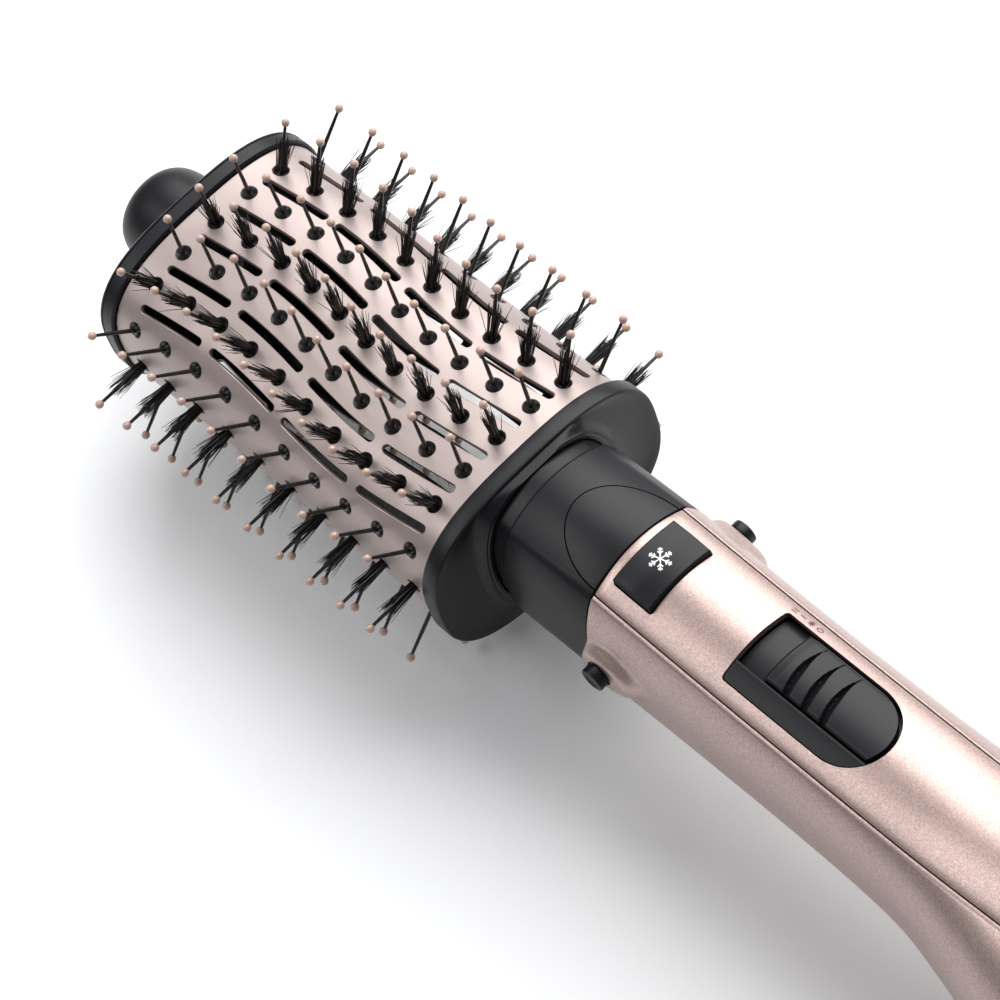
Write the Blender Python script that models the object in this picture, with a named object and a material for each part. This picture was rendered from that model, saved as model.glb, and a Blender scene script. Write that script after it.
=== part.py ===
"""Hot air brush: an oval perforated barrel with sixteen bristle rows, on a detachable neck,
and a handle with a slide switch, a cool-shot button, two release pegs, a heater and a fan.

The brush lies level along X, nose towards -X and tail towards +X, with the switch deck up.
Every size is in millimetres in the axis frame: the barrel's axis is the X axis and x = 0 is
the middle of the bristle rows. An empty lifts that frame so that the brush stands on Z = 0
with the middle of its box over the origin.
"""
import math

import bmesh
import bpy
from mathutils import Vector

MM = 0.001

# ---- barrel and bristles ---------------------------------------------------------------
BARREL_HALF_WIDTH = 31.5
BARREL_HALF_HEIGHT = 21.4
BARREL_SQUARENESS = 2.84
BARREL_WALL = 1.3
BARREL_POINTS = 40
END_MARGIN = 6.3            # last pin station to the barrel's rim
ROW_SHARES = (0.0, 0.2325, 0.449, 0.721, 1.0)   # of a quarter turn, top row to side row
PINS_PER_ROW = 10
PIN_PITCH = 10.3
WAVE_HEIGHT = 1.8           # how far the rows swing sideways
WAVE_LENGTH = 86.7
ROW_LEANS = (0, 0, 25, 46, 90)   # degrees from vertical, from the top row to the side row
HOLE_RADIUS = 2.3           # to the corners of the hole
HOLE_SIDES = 4
SLOT_HALF_WIDTH = 1.05
SLOT_GAP = 1.5              # solid bridge, either side of a slot's end station
PIN_REACH = 13.6            # ball centre above the barrel's surface
BALL_RADIUS = 0.95
PIN_RADIUS = 0.65
TUFT_ROOT_RADIUS = 1.25
TUFT_TOP_RADIUS = 2.0
TUFT_REACH = 9.6
BAR_HALF_WIDTH = 2.0
BAR_THICKNESS = 1.6
BAR_CLEARANCE = 0.7

# ---- barrel ends and neck --------------------------------------------------------------
GAP = 0.3                   # clearance between pieces that touch
CARRIER_THICKNESS = 1.7
CAP_DEPTH = 5.2
CAP_OVERHANG = 1.1
KNOB_RADIUS = 12.8
KNOB_DEPTH = 20.0
KNOB_BLUNTNESS = 5.0        # how square the dome is, as a power
KNOB_RINGS = 6
KNOB_TIP_SHARE = 0.1        # of its radius, the flat left at the nose
KNOB_BOSS_RADIUS = 6.0
TIP_SCREW_RADIUS = 1.5
FLANGE_DEPTH = 4.4
FLANGE_OVERHANG = 2.0
COLLAR_DEPTH = 2.4          # raised ring around the neck, on the flange
COLLAR_WALL = 3.1
COLLAR_RIM_MARGIN = 0.4     # the ring stays this far inside the flange's rim
RIM_WALL = 0.9              # the least metal between the neck and the rim
RIM_CHAMFER = 0.6
NECK_LENGTH = 32.4
NECK_HALF_WIDTH = 19.2
NECK_EDGE_HALF_WIDTH = 14.2
NECK_EDGE_Z = 20.4          # where it meets the handle
NECK_RISE = 1.5             # the top starts this much lower at the flange
NECK_CROWN = 4.5
NECK_BOTTOM_Z = -19.0
NECK_WALL = 2.0
NECK_BAND_LENGTH = 6.0      # drawn-in band behind the flange
NECK_BAND_DEPTH = 1.4
NECK_BAND_SLOPE = 0.7
TONGUE_LENGTH = 17.5
TONGUE_HALF_WIDTH = 12.8
SPIGOT_RADIUS = 14.6
SPIGOT_WALL = 1.3
SPIGOT_LENGTH = 12.5
WEB_FROM_REAR = 8.0         # the spigot's web, ahead of the neck's rear end
WEB_THICKNESS = 1.8

# ---- handle ----------------------------------------------------------------------------
SHELL_WALL = 2.2
DECK_THICKNESS = 1.8
DECK_HALF_WIDTH = 13.5
DECK_CROWN = 4.3
LEDGE_WIDTH = 2.0
HANDLE_LENGTH = 176.0
FAN_RADIUS = 17.4           # the tail swells to house the fan
# share of the handle's length, half width, height of the deck's edge, mid height, bottom
HANDLE_STATIONS = (
    (0.000, 19.4, 20.60, -0.2, -20.5),
    (0.100, 19.1, 18.80, -1.2, -20.2),
    (0.216, 19.0, 17.20, -2.2, -20.0),
    (0.330, 19.1, 16.10, -2.7, -20.0),
    (0.443, 19.6, 15.25, -3.4, -20.4),
    (0.517, 20.6, 15.00, -4.5, -21.6),
    (0.590, 23.4, 15.60, -5.8, -25.0),
    (0.680, FAN_RADIUS + 10.0, 16.80, -7.0, -FAN_RADIUS - 12.6),
    (0.790, FAN_RADIUS + 13.0, 17.40, -8.0, -FAN_RADIUS - 17.2),
    (0.890, FAN_RADIUS + 13.6, 16.00, -8.0, -FAN_RADIUS - 18.2),
    (1.000, FAN_RADIUS + 11.2, 11.80, -8.0, -FAN_RADIUS - 16.6),
)
REAR_COVER_DEPTH = 10.0
REAR_COVER_WALL = 2.0
TAIL_AXIS_Z = -8.0
INLET_SLOTS = 12
INLET_SLOT_HALF_WIDTH = 1.3
INLET_MARGIN = 3.5          # from the gland to the slots
INLET_SHARE = 0.57          # of the last section's half width
GLAND_RADIUS = 6.0
GLAND_LENGTH = 15.0
CORD_BORE_RADIUS = 3.2
LOOP_RADIUS = 8.0
LOOP_WIRE_RADIUS = 1.5

# ---- controls --------------------------------------------------------------------------
BUTTON_FROM_FRONT = 2.4
BUTTON_LENGTH = 10.8
BUTTON_HALF_WIDTH = 9.2
BUTTON_PROUD = 1.1
BUTTON_TRAVEL = 1.2
BUTTON_ROOF = 1.3
BOARD_THICKNESS = 0.8
CASE_SCREW_RADIUS = 1.4
RECESS_FROM_FRONT = 34.1
RECESS_LENGTH = 38.8
RECESS_HALF_WIDTH = 10.1
RECESS_DEPTH = 2.6
SIDE_STRIP_WIDTH = 5.1
SLIDER_LENGTH = 30.3
SLIDER_TRAVEL = 6.0
SLIDER_PROUD = 0.5
STEM_LENGTH = 4.0
STEM_DEPTH = 5.0
PEG_FROM_FRONT = 5.0
PEG_Z = 3.5
PEG_RADIUS = 3.0
PEG_PROUD = 2.8
PEG_TRAVEL = 2.0
PEG_FLANGE = 1.0
BOSS_RADIUS = 5.4
BOSS_PROUD = 1.7

# ---- heater, motor and fan -------------------------------------------------------------
HEATER_CLEARANCE = 0.7
HEATER_WALL = 0.7
HEATER_REACH = 28.0         # how far the heater stands out of the handle
HEATER_DEPTH = 28.0         # and how far it runs back inside
COIL_CLEARANCE = 2.1        # from the coil's middle to the tube's inside
COIL_WIRE_RADIUS = 0.5
COIL_TURNS = 5
MOTOR_RADIUS = 11.0
MOTOR_LENGTH = 28.0
MOTOR_SHARE = 0.574         # of the handle's length, in front of the motor
MOUNT_WALL = 1.4
SHAFT_RADIUS = 1.0
FAN_LENGTH = 11.0
FAN_BLADES = 7
FAN_HOUSING_WALL = 1.3
FAN_TIP_GAP = 0.9

# ---- places worked out from the sizes ---------------------------------------------------
HALF_SPAN = PIN_PITCH * (PINS_PER_ROW - 1) / 2
BARREL_END = HALF_SPAN + END_MARGIN
CAP_FRONT_X = -BARREL_END - GAP - CAP_DEPTH
NOSE_X = CAP_FRONT_X - GAP - KNOB_DEPTH
FLANGE_REAR_X = BARREL_END + GAP + FLANGE_DEPTH
NECK_FRONT_X = FLANGE_REAR_X + GAP
HANDLE_X = NECK_FRONT_X + NECK_LENGTH + GAP
HANDLE_END_X = HANDLE_X + HANDLE_LENGTH
COVER_END_X = HANDLE_END_X + GAP + REAR_COVER_DEPTH
TAIL_X = COVER_END_X + GLAND_LENGTH
TIP_REACH = PIN_REACH + BALL_RADIUS
HANDLE_DEPTH = -min(station[4] for station in HANDLE_STATIONS)
AXIS_Z = max(BARREL_HALF_HEIGHT + TIP_REACH, HANDLE_DEPTH)
CENTRE_X = (NOSE_X + TAIL_X) / 2
QUARTER_ROWS = len(ROW_SHARES) - 1
ROW_COUNT = 4 * QUARTER_ROWS

PEG_X = HANDLE_X + PEG_FROM_FRONT
PEG_INNER_Y = SPIGOT_RADIUS + GAP
HANDLE_SIDE_Y = HANDLE_STATIONS[0][1]
BOSS_END_Y = HANDLE_SIDE_Y + BOSS_PROUD
PEG_TIP_Y = BOSS_END_Y + PEG_PROUD
PEG_FLANGE_RADIUS = PEG_RADIUS + 1.1
PEG_STOP_Y = PEG_INNER_Y + PEG_TRAVEL + PEG_FLANGE + GAP

SOCKET_TOP_Z = SPIGOT_RADIUS - 1.1      # the socket is open above this, under the button
BOARD_Z = SPIGOT_RADIUS + GAP
CASE_SCREW_X = HANDLE_X + SPIGOT_LENGTH * 0.55
BUTTON_X = HANDLE_X + BUTTON_FROM_FRONT
BUTTON_HOLLOW_HALF = BUTTON_HALF_WIDTH * 0.6
RECESS_X = HANDLE_X + RECESS_FROM_FRONT
CHANNEL_LOW_Y = -RECESS_HALF_WIDTH + SIDE_STRIP_WIDTH
SLIDER_END_X = RECESS_X + RECESS_LENGTH - 2 * GAP - 0.4
SLIDER_X = SLIDER_END_X - SLIDER_LENGTH
STEM_X = SLIDER_X + SLIDER_LENGTH / 2 - STEM_LENGTH / 2
STEM_Y = (CHANNEL_LOW_Y + RECESS_HALF_WIDTH) / 2

HEATER_RADIUS = SPIGOT_RADIUS - SPIGOT_WALL - HEATER_CLEARANCE
COIL_RADIUS = HEATER_RADIUS - HEATER_WALL - COIL_CLEARANCE
HEATER_FRONT_X = HANDLE_X - HEATER_REACH
HEATER_REAR_X = HANDLE_X + HEATER_DEPTH
MOTOR_X = HANDLE_X + HANDLE_LENGTH * MOTOR_SHARE
MOTOR_END_X = MOTOR_X + MOTOR_LENGTH
FAN_X = MOTOR_END_X + 4.0
FAN_END_X = FAN_X + FAN_LENGTH
INLET_INNER_RADIUS = GLAND_RADIUS + INLET_MARGIN
INLET_OUTER_RADIUS = HANDLE_STATIONS[-1][1] * INLET_SHARE

# ---- how finely the curves are cut --------------------------------------------------------
SECTION_POINTS = 32
ARC_STEPS = 1440
SIDE_POWER = 2.4            # how square the body's sides are
UPPER_STEPS = 4
LOWER_STEPS = 5
DECK_STEPS = 8
ARC_TABLE = []


# ---- meshes -----------------------------------------------------------------------------
def material(name, colour, roughness, metallic=0.0):
    """A plain finish for one kind of material, made once."""
    finish = bpy.data.materials.get(name)
    if finish is None:
        finish = bpy.data.materials.new(name)
        finish.use_nodes = True
        shader = finish.node_tree.nodes["Principled BSDF"]
        shader.inputs["Base Color"].default_value = (*colour, 1.0)
        shader.inputs["Roughness"].default_value = roughness
        shader.inputs["Metallic"].default_value = metallic
        finish.diffuse_color = (*colour, 1.0)
    return finish


def add_object(name, mesh_data, finish, origin=(0, 0, 0)):
    """Turn a bmesh in millimetres into an object in metres, with its origin where asked."""
    bmesh.ops.recalc_face_normals(mesh_data, faces=mesh_data.faces)
    bmesh.ops.translate(mesh_data, verts=mesh_data.verts, vec=-Vector(origin))
    bmesh.ops.scale(mesh_data, verts=mesh_data.verts, vec=(MM, MM, MM))
    mesh = bpy.data.meshes.new(name)
    mesh_data.to_mesh(mesh)
    mesh_data.free()
    mesh.materials.append(finish)
    mesh.shade_smooth()
    mesh.set_sharp_from_angle(angle=math.radians(32))
    piece = bpy.data.objects.new(name, mesh)
    bpy.context.collection.objects.link(piece)
    piece.parent = bpy.data.objects["brush_axis"]
    piece.location = Vector(origin) * MM
    return piece


def combine(piece, tool, operation="DIFFERENCE"):
    """Cut a piece with a hidden tool, or join the tool to it."""
    step = piece.modifiers.new(tool.name, "BOOLEAN")
    step.operation = operation
    step.solver = "EXACT"
    step.object = tool
    tool.hide_render = True
    tool.display_type = "WIRE"
    return piece


def add_rings(mesh_data, rings, closed=False):
    """Bridge rings of points; a closed run makes a tube wall, an open one is capped."""
    rows = [[mesh_data.verts.new(point) for point in ring] for ring in rings]
    pairs = list(zip(rows, rows[1:]))
    if closed:
        pairs.append((rows[-1], rows[0]))
    for row, after in pairs:
        for i in range(len(row)):
            j = (i + 1) % len(row)
            mesh_data.faces.new((row[i], row[j], after[j], after[i]))
    if not closed:
        mesh_data.faces.new(rows[0])
        mesh_data.faces.new(rows[-1][::-1])


def from_rings(name, rings, finish, closed=False, origin=(0, 0, 0)):
    mesh_data = bmesh.new()
    add_rings(mesh_data, rings, closed)
    return add_object(name, mesh_data, finish, origin)


def box(name, low, high, finish, origin=(0, 0, 0)):
    """A block between two corners."""
    rings = [[(x, low[1], low[2]), (x, high[1], low[2]), (x, high[1], high[2]), (x, low[1], high[2])]
             for x in (low[0], high[0])]
    return from_rings(name, rings, finish, origin=origin)


def ring_points(centre, radius, axis, count):
    """Points of a circle about an axis letter."""
    points = []
    for i in range(count):
        angle = 2 * math.pi * i / count
        u, v = radius * math.cos(angle), radius * math.sin(angle)
        offset = {"x": (0, u, v), "y": (v, 0, u), "z": (u, v, 0)}[axis]
        points.append(Vector(centre) + Vector(offset))
    return points


def add_turned(mesh_data, profile, axis="x", base=(0, 0, 0), count=24):
    """Turn a closed profile of (along, radius) points that stays off the axis line."""
    along = {"x": Vector((1, 0, 0)), "y": Vector((0, 1, 0)), "z": Vector((0, 0, 1))}[axis]
    rings = [ring_points(Vector(base) + along * a, r, axis, count) for a, r in profile]
    add_rings(mesh_data, rings, closed=True)


def add_spindle(mesh_data, profile, axis="x", base=(0, 0, 0), count=24):
    """Turn a solid profile whose two ends are flat discs."""
    along = {"x": Vector((1, 0, 0)), "y": Vector((0, 1, 0)), "z": Vector((0, 0, 1))}[axis]
    rings = [ring_points(Vector(base) + along * a, r, axis, count) for a, r in profile]
    add_rings(mesh_data, rings)


def turned(name, profile, finish, axis="x", base=(0, 0, 0), count=24, solid=False, origin=(0, 0, 0)):
    mesh_data = bmesh.new()
    (add_spindle if solid else add_turned)(mesh_data, profile, axis, base, count)
    return add_object(name, mesh_data, finish, origin)


# ---- sections ---------------------------------------------------------------------------
def oval(x, inset=0.0, count=SECTION_POINTS):
    """The barrel's section at x, moved inwards by inset, at even arc steps from the top."""
    length = barrel_perimeter()
    points = []
    for i in range(count):
        place, normal = on_barrel(length * i / count)
        points.append(Vector((x, place.x - normal.x * inset, place.y - normal.y * inset)))
    return points


def superellipse(angle, half_width, half_height, power):
    """A point of the superellipse at an angle from the top, clockwise seen from the tail."""
    s, c = math.sin(angle), math.cos(angle)
    y = half_width * math.copysign(abs(s) ** (2 / power), s)
    z = half_height * math.copysign(abs(c) ** (2 / power), c)
    return Vector((y, z))


def arc_table():
    """Points and running arc length around the barrel's section, worked out once."""
    if not ARC_TABLE:
        length = 0.0
        before = None
        for i in range(ARC_STEPS + 1):
            point = superellipse(2 * math.pi * i / ARC_STEPS, BARREL_HALF_WIDTH,
                                 BARREL_HALF_HEIGHT, BARREL_SQUARENESS)
            if before is not None:
                length += (point - before).length
            ARC_TABLE.append((length, point))
            before = point
    return ARC_TABLE


def barrel_perimeter():
    return arc_table()[-1][0]


def on_barrel(arc):
    """Point and outward normal (y, z) at an arc length from the top centre."""
    table = arc_table()
    arc %= table[-1][0]
    low, high = 0, ARC_STEPS
    while high - low > 1:
        middle = (low + high) // 2
        if table[middle][0] <= arc:
            low = middle
        else:
            high = middle
    (start, a), (end, b) = table[low], table[high]
    place = a.lerp(b, (arc - start) / (end - start))
    gradient = Vector([math.copysign(abs(value / half) ** (BARREL_SQUARENESS - 1) / half, value)
                       for value, half in ((place.x, BARREL_HALF_WIDTH),
                                           (place.y, BARREL_HALF_HEIGHT))])
    return place, gradient.normalized()


def blend(a, b, t):
    return a + (b - a) * t


def handle_at(x):
    """Half width, deck edge height, mid height and bottom of the handle's section at x."""
    share = min(max((x - HANDLE_X) / HANDLE_LENGTH, 0.0), 1.0)
    for before, after in zip(HANDLE_STATIONS, HANDLE_STATIONS[1:]):
        if share <= after[0]:
            t = (share - before[0]) / (after[0] - before[0])
            return [blend(a, b, t) for a, b in zip(before[1:], after[1:])]
    return list(HANDLE_STATIONS[-1][1:])


def side_curve(half_width, corner, mid_z, bottom_z):
    """One side of a body section, from its top corner out to the middle and down to y = 0."""
    corner_y, corner_z = corner
    share = (1 - (corner_y / half_width) ** SIDE_POWER) ** (1 / SIDE_POWER)
    upper = (corner_z - mid_z) / share
    corner_angle = math.acos((corner_y / half_width) ** (SIDE_POWER / 2))
    points = []
    for i in range(UPPER_STEPS + 1):
        angle = corner_angle * (1 - i / UPPER_STEPS)
        points.append((half_width * math.cos(angle) ** (2 / SIDE_POWER),
                       mid_z + upper * math.sin(angle) ** (2 / SIDE_POWER)))
    for i in range(1, LOWER_STEPS + 1):
        angle = math.pi / 2 * i / LOWER_STEPS
        points.append((half_width * max(math.cos(angle), 0.0) ** (2 / SIDE_POWER),
                       mid_z - (mid_z - bottom_z) * math.sin(angle) ** (2 / SIDE_POWER)))
    points[-1] = (0.0, bottom_z)
    return points


def deck_arc(half_width, edge_z, crown, low=-1.0, high=1.0, steps=DECK_STEPS):
    """Points (y, z) across a crowned deck, between two shares of its half width."""
    points = []
    for i in range(steps + 1):
        share = low + (high - low) * i / steps
        points.append((half_width * share, edge_z + crown * (1 - share * share)))
    return points


def full_section(x, half_width, edge_half, edge_z, crown, mid_z, bottom_z):
    """A closed body section: crowned deck, both sides and the bottom."""
    right = side_curve(half_width, (edge_half, edge_z), mid_z, bottom_z)
    left = [(-y, z) for y, z in right[-2:0:-1]]
    points = deck_arc(edge_half, edge_z, crown) + right[1:] + left
    return [Vector((x, y, z)) for y, z in points]


def neck_section(x, inset=0.0):
    """The neck's outline at x, moved inwards; its top rises towards the handle."""
    edge_z = NECK_EDGE_Z - NECK_RISE * (NECK_FRONT_X + NECK_LENGTH - x) / NECK_LENGTH
    return full_section(x, NECK_HALF_WIDTH - inset, NECK_EDGE_HALF_WIDTH - inset * 0.8,
                        edge_z - inset * 0.8, NECK_CROWN - inset * 0.2, 0.0, NECK_BOTTOM_Z + inset)


def handle_section(x, inset=0.0):
    """The handle's outline at x as one closed section, moved inwards."""
    half_width, edge_z, mid_z, bottom_z = handle_at(x)
    return full_section(x, half_width - inset, DECK_HALF_WIDTH - inset * 0.8,
                        edge_z - inset, DECK_CROWN - inset * 0.1, mid_z, bottom_z + inset)


def bay_section(x, gap=GAP):
    """The space inside the two shells at x, less a gap: what a bulkhead there fills."""
    half_width, edge_z, mid_z, bottom_z = handle_at(x)
    inset = SHELL_WALL + gap
    return full_section(x, half_width - inset, DECK_HALF_WIDTH - LEDGE_WIDTH - gap,
                        ledge_height(edge_z) - gap, DECK_CROWN + 2 * GAP, mid_z, bottom_z + inset)


def ledge_height(edge_z):
    """Height of the lower shell's ledge under the deck's edge."""
    return edge_z - DECK_THICKNESS - 2 * GAP


def deck_z(x, y):
    """Height of the deck's surface."""
    edge_z = handle_at(x)[1]
    return edge_z + DECK_CROWN * (1 - (y / DECK_HALF_WIDTH) ** 2)


def circle_for(ring, centre_z, radius):
    """A circle with one point for each point of a section, in matching directions."""
    points = []
    for point in ring:
        direction = Vector((point.y, point.z - centre_z)).normalized() * radius
        points.append(Vector((point.x, direction.x, centre_z + direction.y)))
    return points


def moved(ring, x):
    return [Vector((x, point.y, point.z)) for point in ring]


# ---- finishes ---------------------------------------------------------------------------
def rose_metal():
    return material("rose_metal", (0.72, 0.55, 0.49), 0.34, 0.85)


def black_plastic():
    return material("black_plastic", (0.025, 0.026, 0.028), 0.42)


def nylon():
    return material("nylon", (0.015, 0.015, 0.016), 0.5)


def steel():
    return material("steel", (0.62, 0.62, 0.64), 0.3, 1.0)


def mica():
    return material("mica", (0.55, 0.47, 0.34), 0.6)


def heater_wire():
    return material("heater_wire", (0.35, 0.3, 0.28), 0.45, 1.0)


def circuit_board():
    return material("circuit_board", (0.03, 0.22, 0.1), 0.5)


def grey_plastic():
    return material("grey_plastic", (0.32, 0.33, 0.35), 0.5)


def filter_mesh():
    return material("filter_mesh", (0.06, 0.06, 0.065), 0.8)


# ---- brush head -------------------------------------------------------------------------
def row_arc(row, x):
    """Arc position of a bristle row at x; half rows lie midway, and all follow one wave."""
    quarter, steps = divmod(row % ROW_COUNT, QUARTER_ROWS)
    mirrored = quarter % 2 == 1
    if mirrored:
        steps = QUARTER_ROWS - steps
    low = min(int(steps), QUARTER_ROWS - 1)
    share = blend(ROW_SHARES[low], ROW_SHARES[low + 1], steps - low)
    if mirrored:
        share = 1 - share
    swing = -WAVE_HEIGHT * math.sin(2 * math.pi * x / WAVE_LENGTH)
    return barrel_perimeter() * (quarter + share) / 4 + swing


def station_x(index):
    return -HALF_SPAN + PIN_PITCH * index


def surface_frame(row, x):
    """Place, outward normal and sideways direction on the barrel, as 3-D vectors."""
    place, normal = on_barrel(row_arc(row, x))
    outward = Vector((0, normal.x, normal.y))
    return Vector((x, place.x, place.y)), outward, Vector((1, 0, 0)).cross(outward)


def add_hole(mesh_data, row, x):
    place, outward, sideways = surface_frame(row, x)
    rings = []
    for depth in (-2.5 * BARREL_WALL, 1.2):
        ring = []
        for i in range(HOLE_SIDES):
            angle = 2 * math.pi * (i + 0.5) / HOLE_SIDES
            ring.append(place + outward * depth + Vector((1, 0, 0)) * HOLE_RADIUS * math.cos(angle)
                        + sideways * HOLE_RADIUS * math.sin(angle))
        rings.append(ring)
    add_rings(mesh_data, rings)


def slot_spans():
    """Start and end x of the four slots in a row."""
    edges = [station_x(0) - SLOT_GAP / 2, station_x(2), station_x(4.5), station_x(7), station_x(9)]
    spans = [(a + SLOT_GAP, b - SLOT_GAP) for a, b in zip(edges, edges[1:])]
    return [(edges[0] + SLOT_GAP / 2, spans[0][1])] + spans[1:3] + [(spans[3][0], edges[4] + SLOT_GAP)]


def add_slot(mesh_data, row, start, end):
    """A slot cutter that follows the wave of its row."""
    rings = []
    for x in (start, (start + end) / 2, end):
        place, outward, sideways = surface_frame(row, x)
        half = sideways * SLOT_HALF_WIDTH
        top, bottom = outward * 1.2, outward * -2.5 * BARREL_WALL
        rings.append([place + half + top, place - half + top, place - half + bottom,
                      place + half + bottom])
    add_rings(mesh_data, rings)


def slot_rows():
    """Slots lie between neighbouring rows, except where the barrel's sides curve most."""
    half = ROW_COUNT // 2
    rows = [i + 0.5 for i in range(ROW_COUNT)]
    return [row for row in rows if abs(row % half - half / 2) > 0.6]


def brush_barrel():
    rings = [oval(-BARREL_END, 0, BARREL_POINTS), oval(BARREL_END, 0, BARREL_POINTS),
             oval(BARREL_END, BARREL_WALL, BARREL_POINTS), oval(-BARREL_END, BARREL_WALL, BARREL_POINTS)]
    barrel = from_rings("brush_barrel", rings, rose_metal(), closed=True)
    cutters = bmesh.new()
    for row in range(ROW_COUNT):
        for index in range(PINS_PER_ROW):
            add_hole(cutters, row, station_x(index))
    for row in slot_rows():
        for start, end in slot_spans():
            add_slot(cutters, row, start, end)
    return combine(barrel, add_object("barrel_holes_tool", cutters, rose_metal()))


def pin_direction(row):
    """The way a row's pins point; both halves of the barrel lean alike."""
    half = ROW_COUNT // 2
    folded = row % ROW_COUNT
    side = 1 if folded <= half else -1
    from_top = min(folded, ROW_COUNT - folded)
    steps = min(from_top, half - from_top)
    up = 1 if from_top <= half / 2 else -1
    angle = math.radians(ROW_LEANS[steps])
    return Vector((0, side * math.sin(angle), up * math.cos(angle)))


def pin_profile(row):
    """Distances and radii along a pin: a tuft round a pin on even rows, a bare pin on odd."""
    root = -BARREL_WALL - BAR_CLEARANCE - BAR_THICKNESS * 0.6
    if row % 2 == 0:
        return (root, TUFT_ROOT_RADIUS), (TUFT_REACH, TUFT_TOP_RADIUS), (TIP_REACH, BALL_RADIUS)
    return (root, PIN_RADIUS), (TIP_REACH, BALL_RADIUS)


def add_pin(mesh_data, row, x):
    place = surface_frame(row, x)[0]
    direction = pin_direction(row)
    across = Vector((1, 0, 0))
    sideways = direction.cross(across)
    rings = []
    for distance, radius in pin_profile(row):
        ring = []
        for i in range(4):
            angle = math.pi / 2 * (i + 0.5)
            ring.append(place + direction * distance + across * radius * math.cos(angle)
                        + sideways * radius * math.sin(angle))
        rings.append(ring)
    add_rings(mesh_data, rings)


def bristle_strip(row):
    """One bar inside the barrel, with its ten pins standing out through their holes."""
    name = f"bristle_strip_{row + 1:02d}"
    rings = []
    bar_end = BARREL_END - CARRIER_THICKNESS - 2 * GAP
    for x in [bar_end * (i / 4 - 1) for i in range(9)]:
        place, outward, sideways = surface_frame(row, x)
        centre = place - outward * (BARREL_WALL + BAR_CLEARANCE + BAR_THICKNESS / 2)
        half, rise = sideways * BAR_HALF_WIDTH, outward * BAR_THICKNESS / 2
        rings.append([centre + half + rise, centre - half + rise, centre - half - rise,
                      centre + half - rise])
    bar = from_rings(name, rings, nylon())
    pins = bmesh.new()
    for index in range(PINS_PER_ROW):
        add_pin(pins, row, station_x(index))
    return combine(bar, add_object(name + "_pins_tool", pins, nylon()), "UNION")


def carriers():
    """The two plates inside the barrel that the strips end against."""
    inset = BARREL_WALL + GAP
    outer_x = BARREL_END - GAP
    inner_x = outer_x - CARRIER_THICKNESS
    front = [oval(-outer_x, inset), oval(-inner_x, inset)]
    hole = TIP_SCREW_RADIUS + GAP
    front += [circle_for(front[1], 0, hole), circle_for(front[0], 0, hole)]
    from_rings("front_carrier", front, black_plastic(), closed=True)
    rear = [oval(inner_x, inset), oval(outer_x, inset), oval(outer_x, inset + 5.5), oval(inner_x, inset + 5.5)]
    from_rings("rear_carrier", rear, black_plastic(), closed=True)


def front_cap():
    rear_x = -BARREL_END - GAP
    hole = KNOB_BOSS_RADIUS + GAP
    recess_x = rear_x - CAP_DEPTH + 1.8
    face = oval(CAP_FRONT_X, 1.6)
    inner = oval(recess_x, 1.6)
    rings = [oval(rear_x, -CAP_OVERHANG), oval(CAP_FRONT_X + 1.4, -CAP_OVERHANG),
             oval(CAP_FRONT_X + 0.4, -CAP_OVERHANG + 0.9), face, circle_for(face, 0, hole),
             circle_for(inner, 0, hole), inner, oval(rear_x, 1.6)]
    from_rings("front_cap", rings, black_plastic(), closed=True)


def nose_knob():
    """The cool nose: a domed grip whose boss goes through the cap to the front carrier."""
    base_x = CAP_FRONT_X - GAP
    boss_x = -BARREL_END
    bore = TIP_SCREW_RADIUS + GAP
    dome = []
    for i in range(KNOB_RINGS + 1):
        share = math.sin(math.pi / 2 * i / KNOB_RINGS)
        radius = (1 - share ** KNOB_BLUNTNESS) ** (1 / KNOB_BLUNTNESS)
        dome.append((base_x - KNOB_DEPTH * share, KNOB_RADIUS * max(radius, KNOB_TIP_SHARE)))
    profile = [(base_x - KNOB_DEPTH * 0.5, bore), (boss_x, bore), (boss_x, KNOB_BOSS_RADIUS),
               (base_x, KNOB_BOSS_RADIUS)] + dome
    mesh_data = bmesh.new()
    rings = [ring_points((a, 0, 0), r, "x", 24) for a, r in profile]
    add_rings(mesh_data, rings)
    add_object("nose_knob", mesh_data, black_plastic())


def nose_screw():
    seat_x = -BARREL_END + 2 * GAP + CARRIER_THICKNESS
    tip_x = CAP_FRONT_X - KNOB_DEPTH * 0.4
    profile = [(tip_x, TIP_SCREW_RADIUS), (seat_x, TIP_SCREW_RADIUS),
               (seat_x, TIP_SCREW_RADIUS * 2), (seat_x + 1.6, TIP_SCREW_RADIUS * 1.8)]
    turned("nose_screw", profile, steel(), count=12, solid=True)


def rear_flange():
    """The oval guard behind the barrel, with a raised collar round the neck."""
    front_x = BARREL_END + GAP
    neck = neck_section(FLANGE_REAR_X, NECK_BAND_DEPTH)
    bore = neck_section(FLANGE_REAR_X, NECK_BAND_DEPTH - GAP)
    hole = neck_section(FLANGE_REAR_X, NECK_BAND_DEPTH + NECK_WALL + 2 * GAP)
    guard = aligned(neck, oval(FLANGE_REAR_X, -FLANGE_OVERHANG, 64))
    guard = [kept_outside(point, edge, RIM_WALL) for point, edge in zip(guard, bore)]
    chamfer = [kept_inside(point, point, RIM_CHAMFER * 0.8) for point in guard]
    wide = aligned(neck, neck_section(FLANGE_REAR_X, NECK_BAND_DEPTH - COLLAR_WALL))
    collar = [kept_inside(point, edge, COLLAR_RIM_MARGIN) for point, edge in zip(wide, chamfer)]
    collar_end = FLANGE_REAR_X + COLLAR_DEPTH
    rings = [moved(guard, front_x), moved(guard, FLANGE_REAR_X - RIM_CHAMFER), chamfer, collar,
             moved(collar, collar_end), moved(bore, collar_end), bore, hole, moved(hole, front_x)]
    from_rings("rear_flange", rings, black_plastic(), closed=True)


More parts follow.
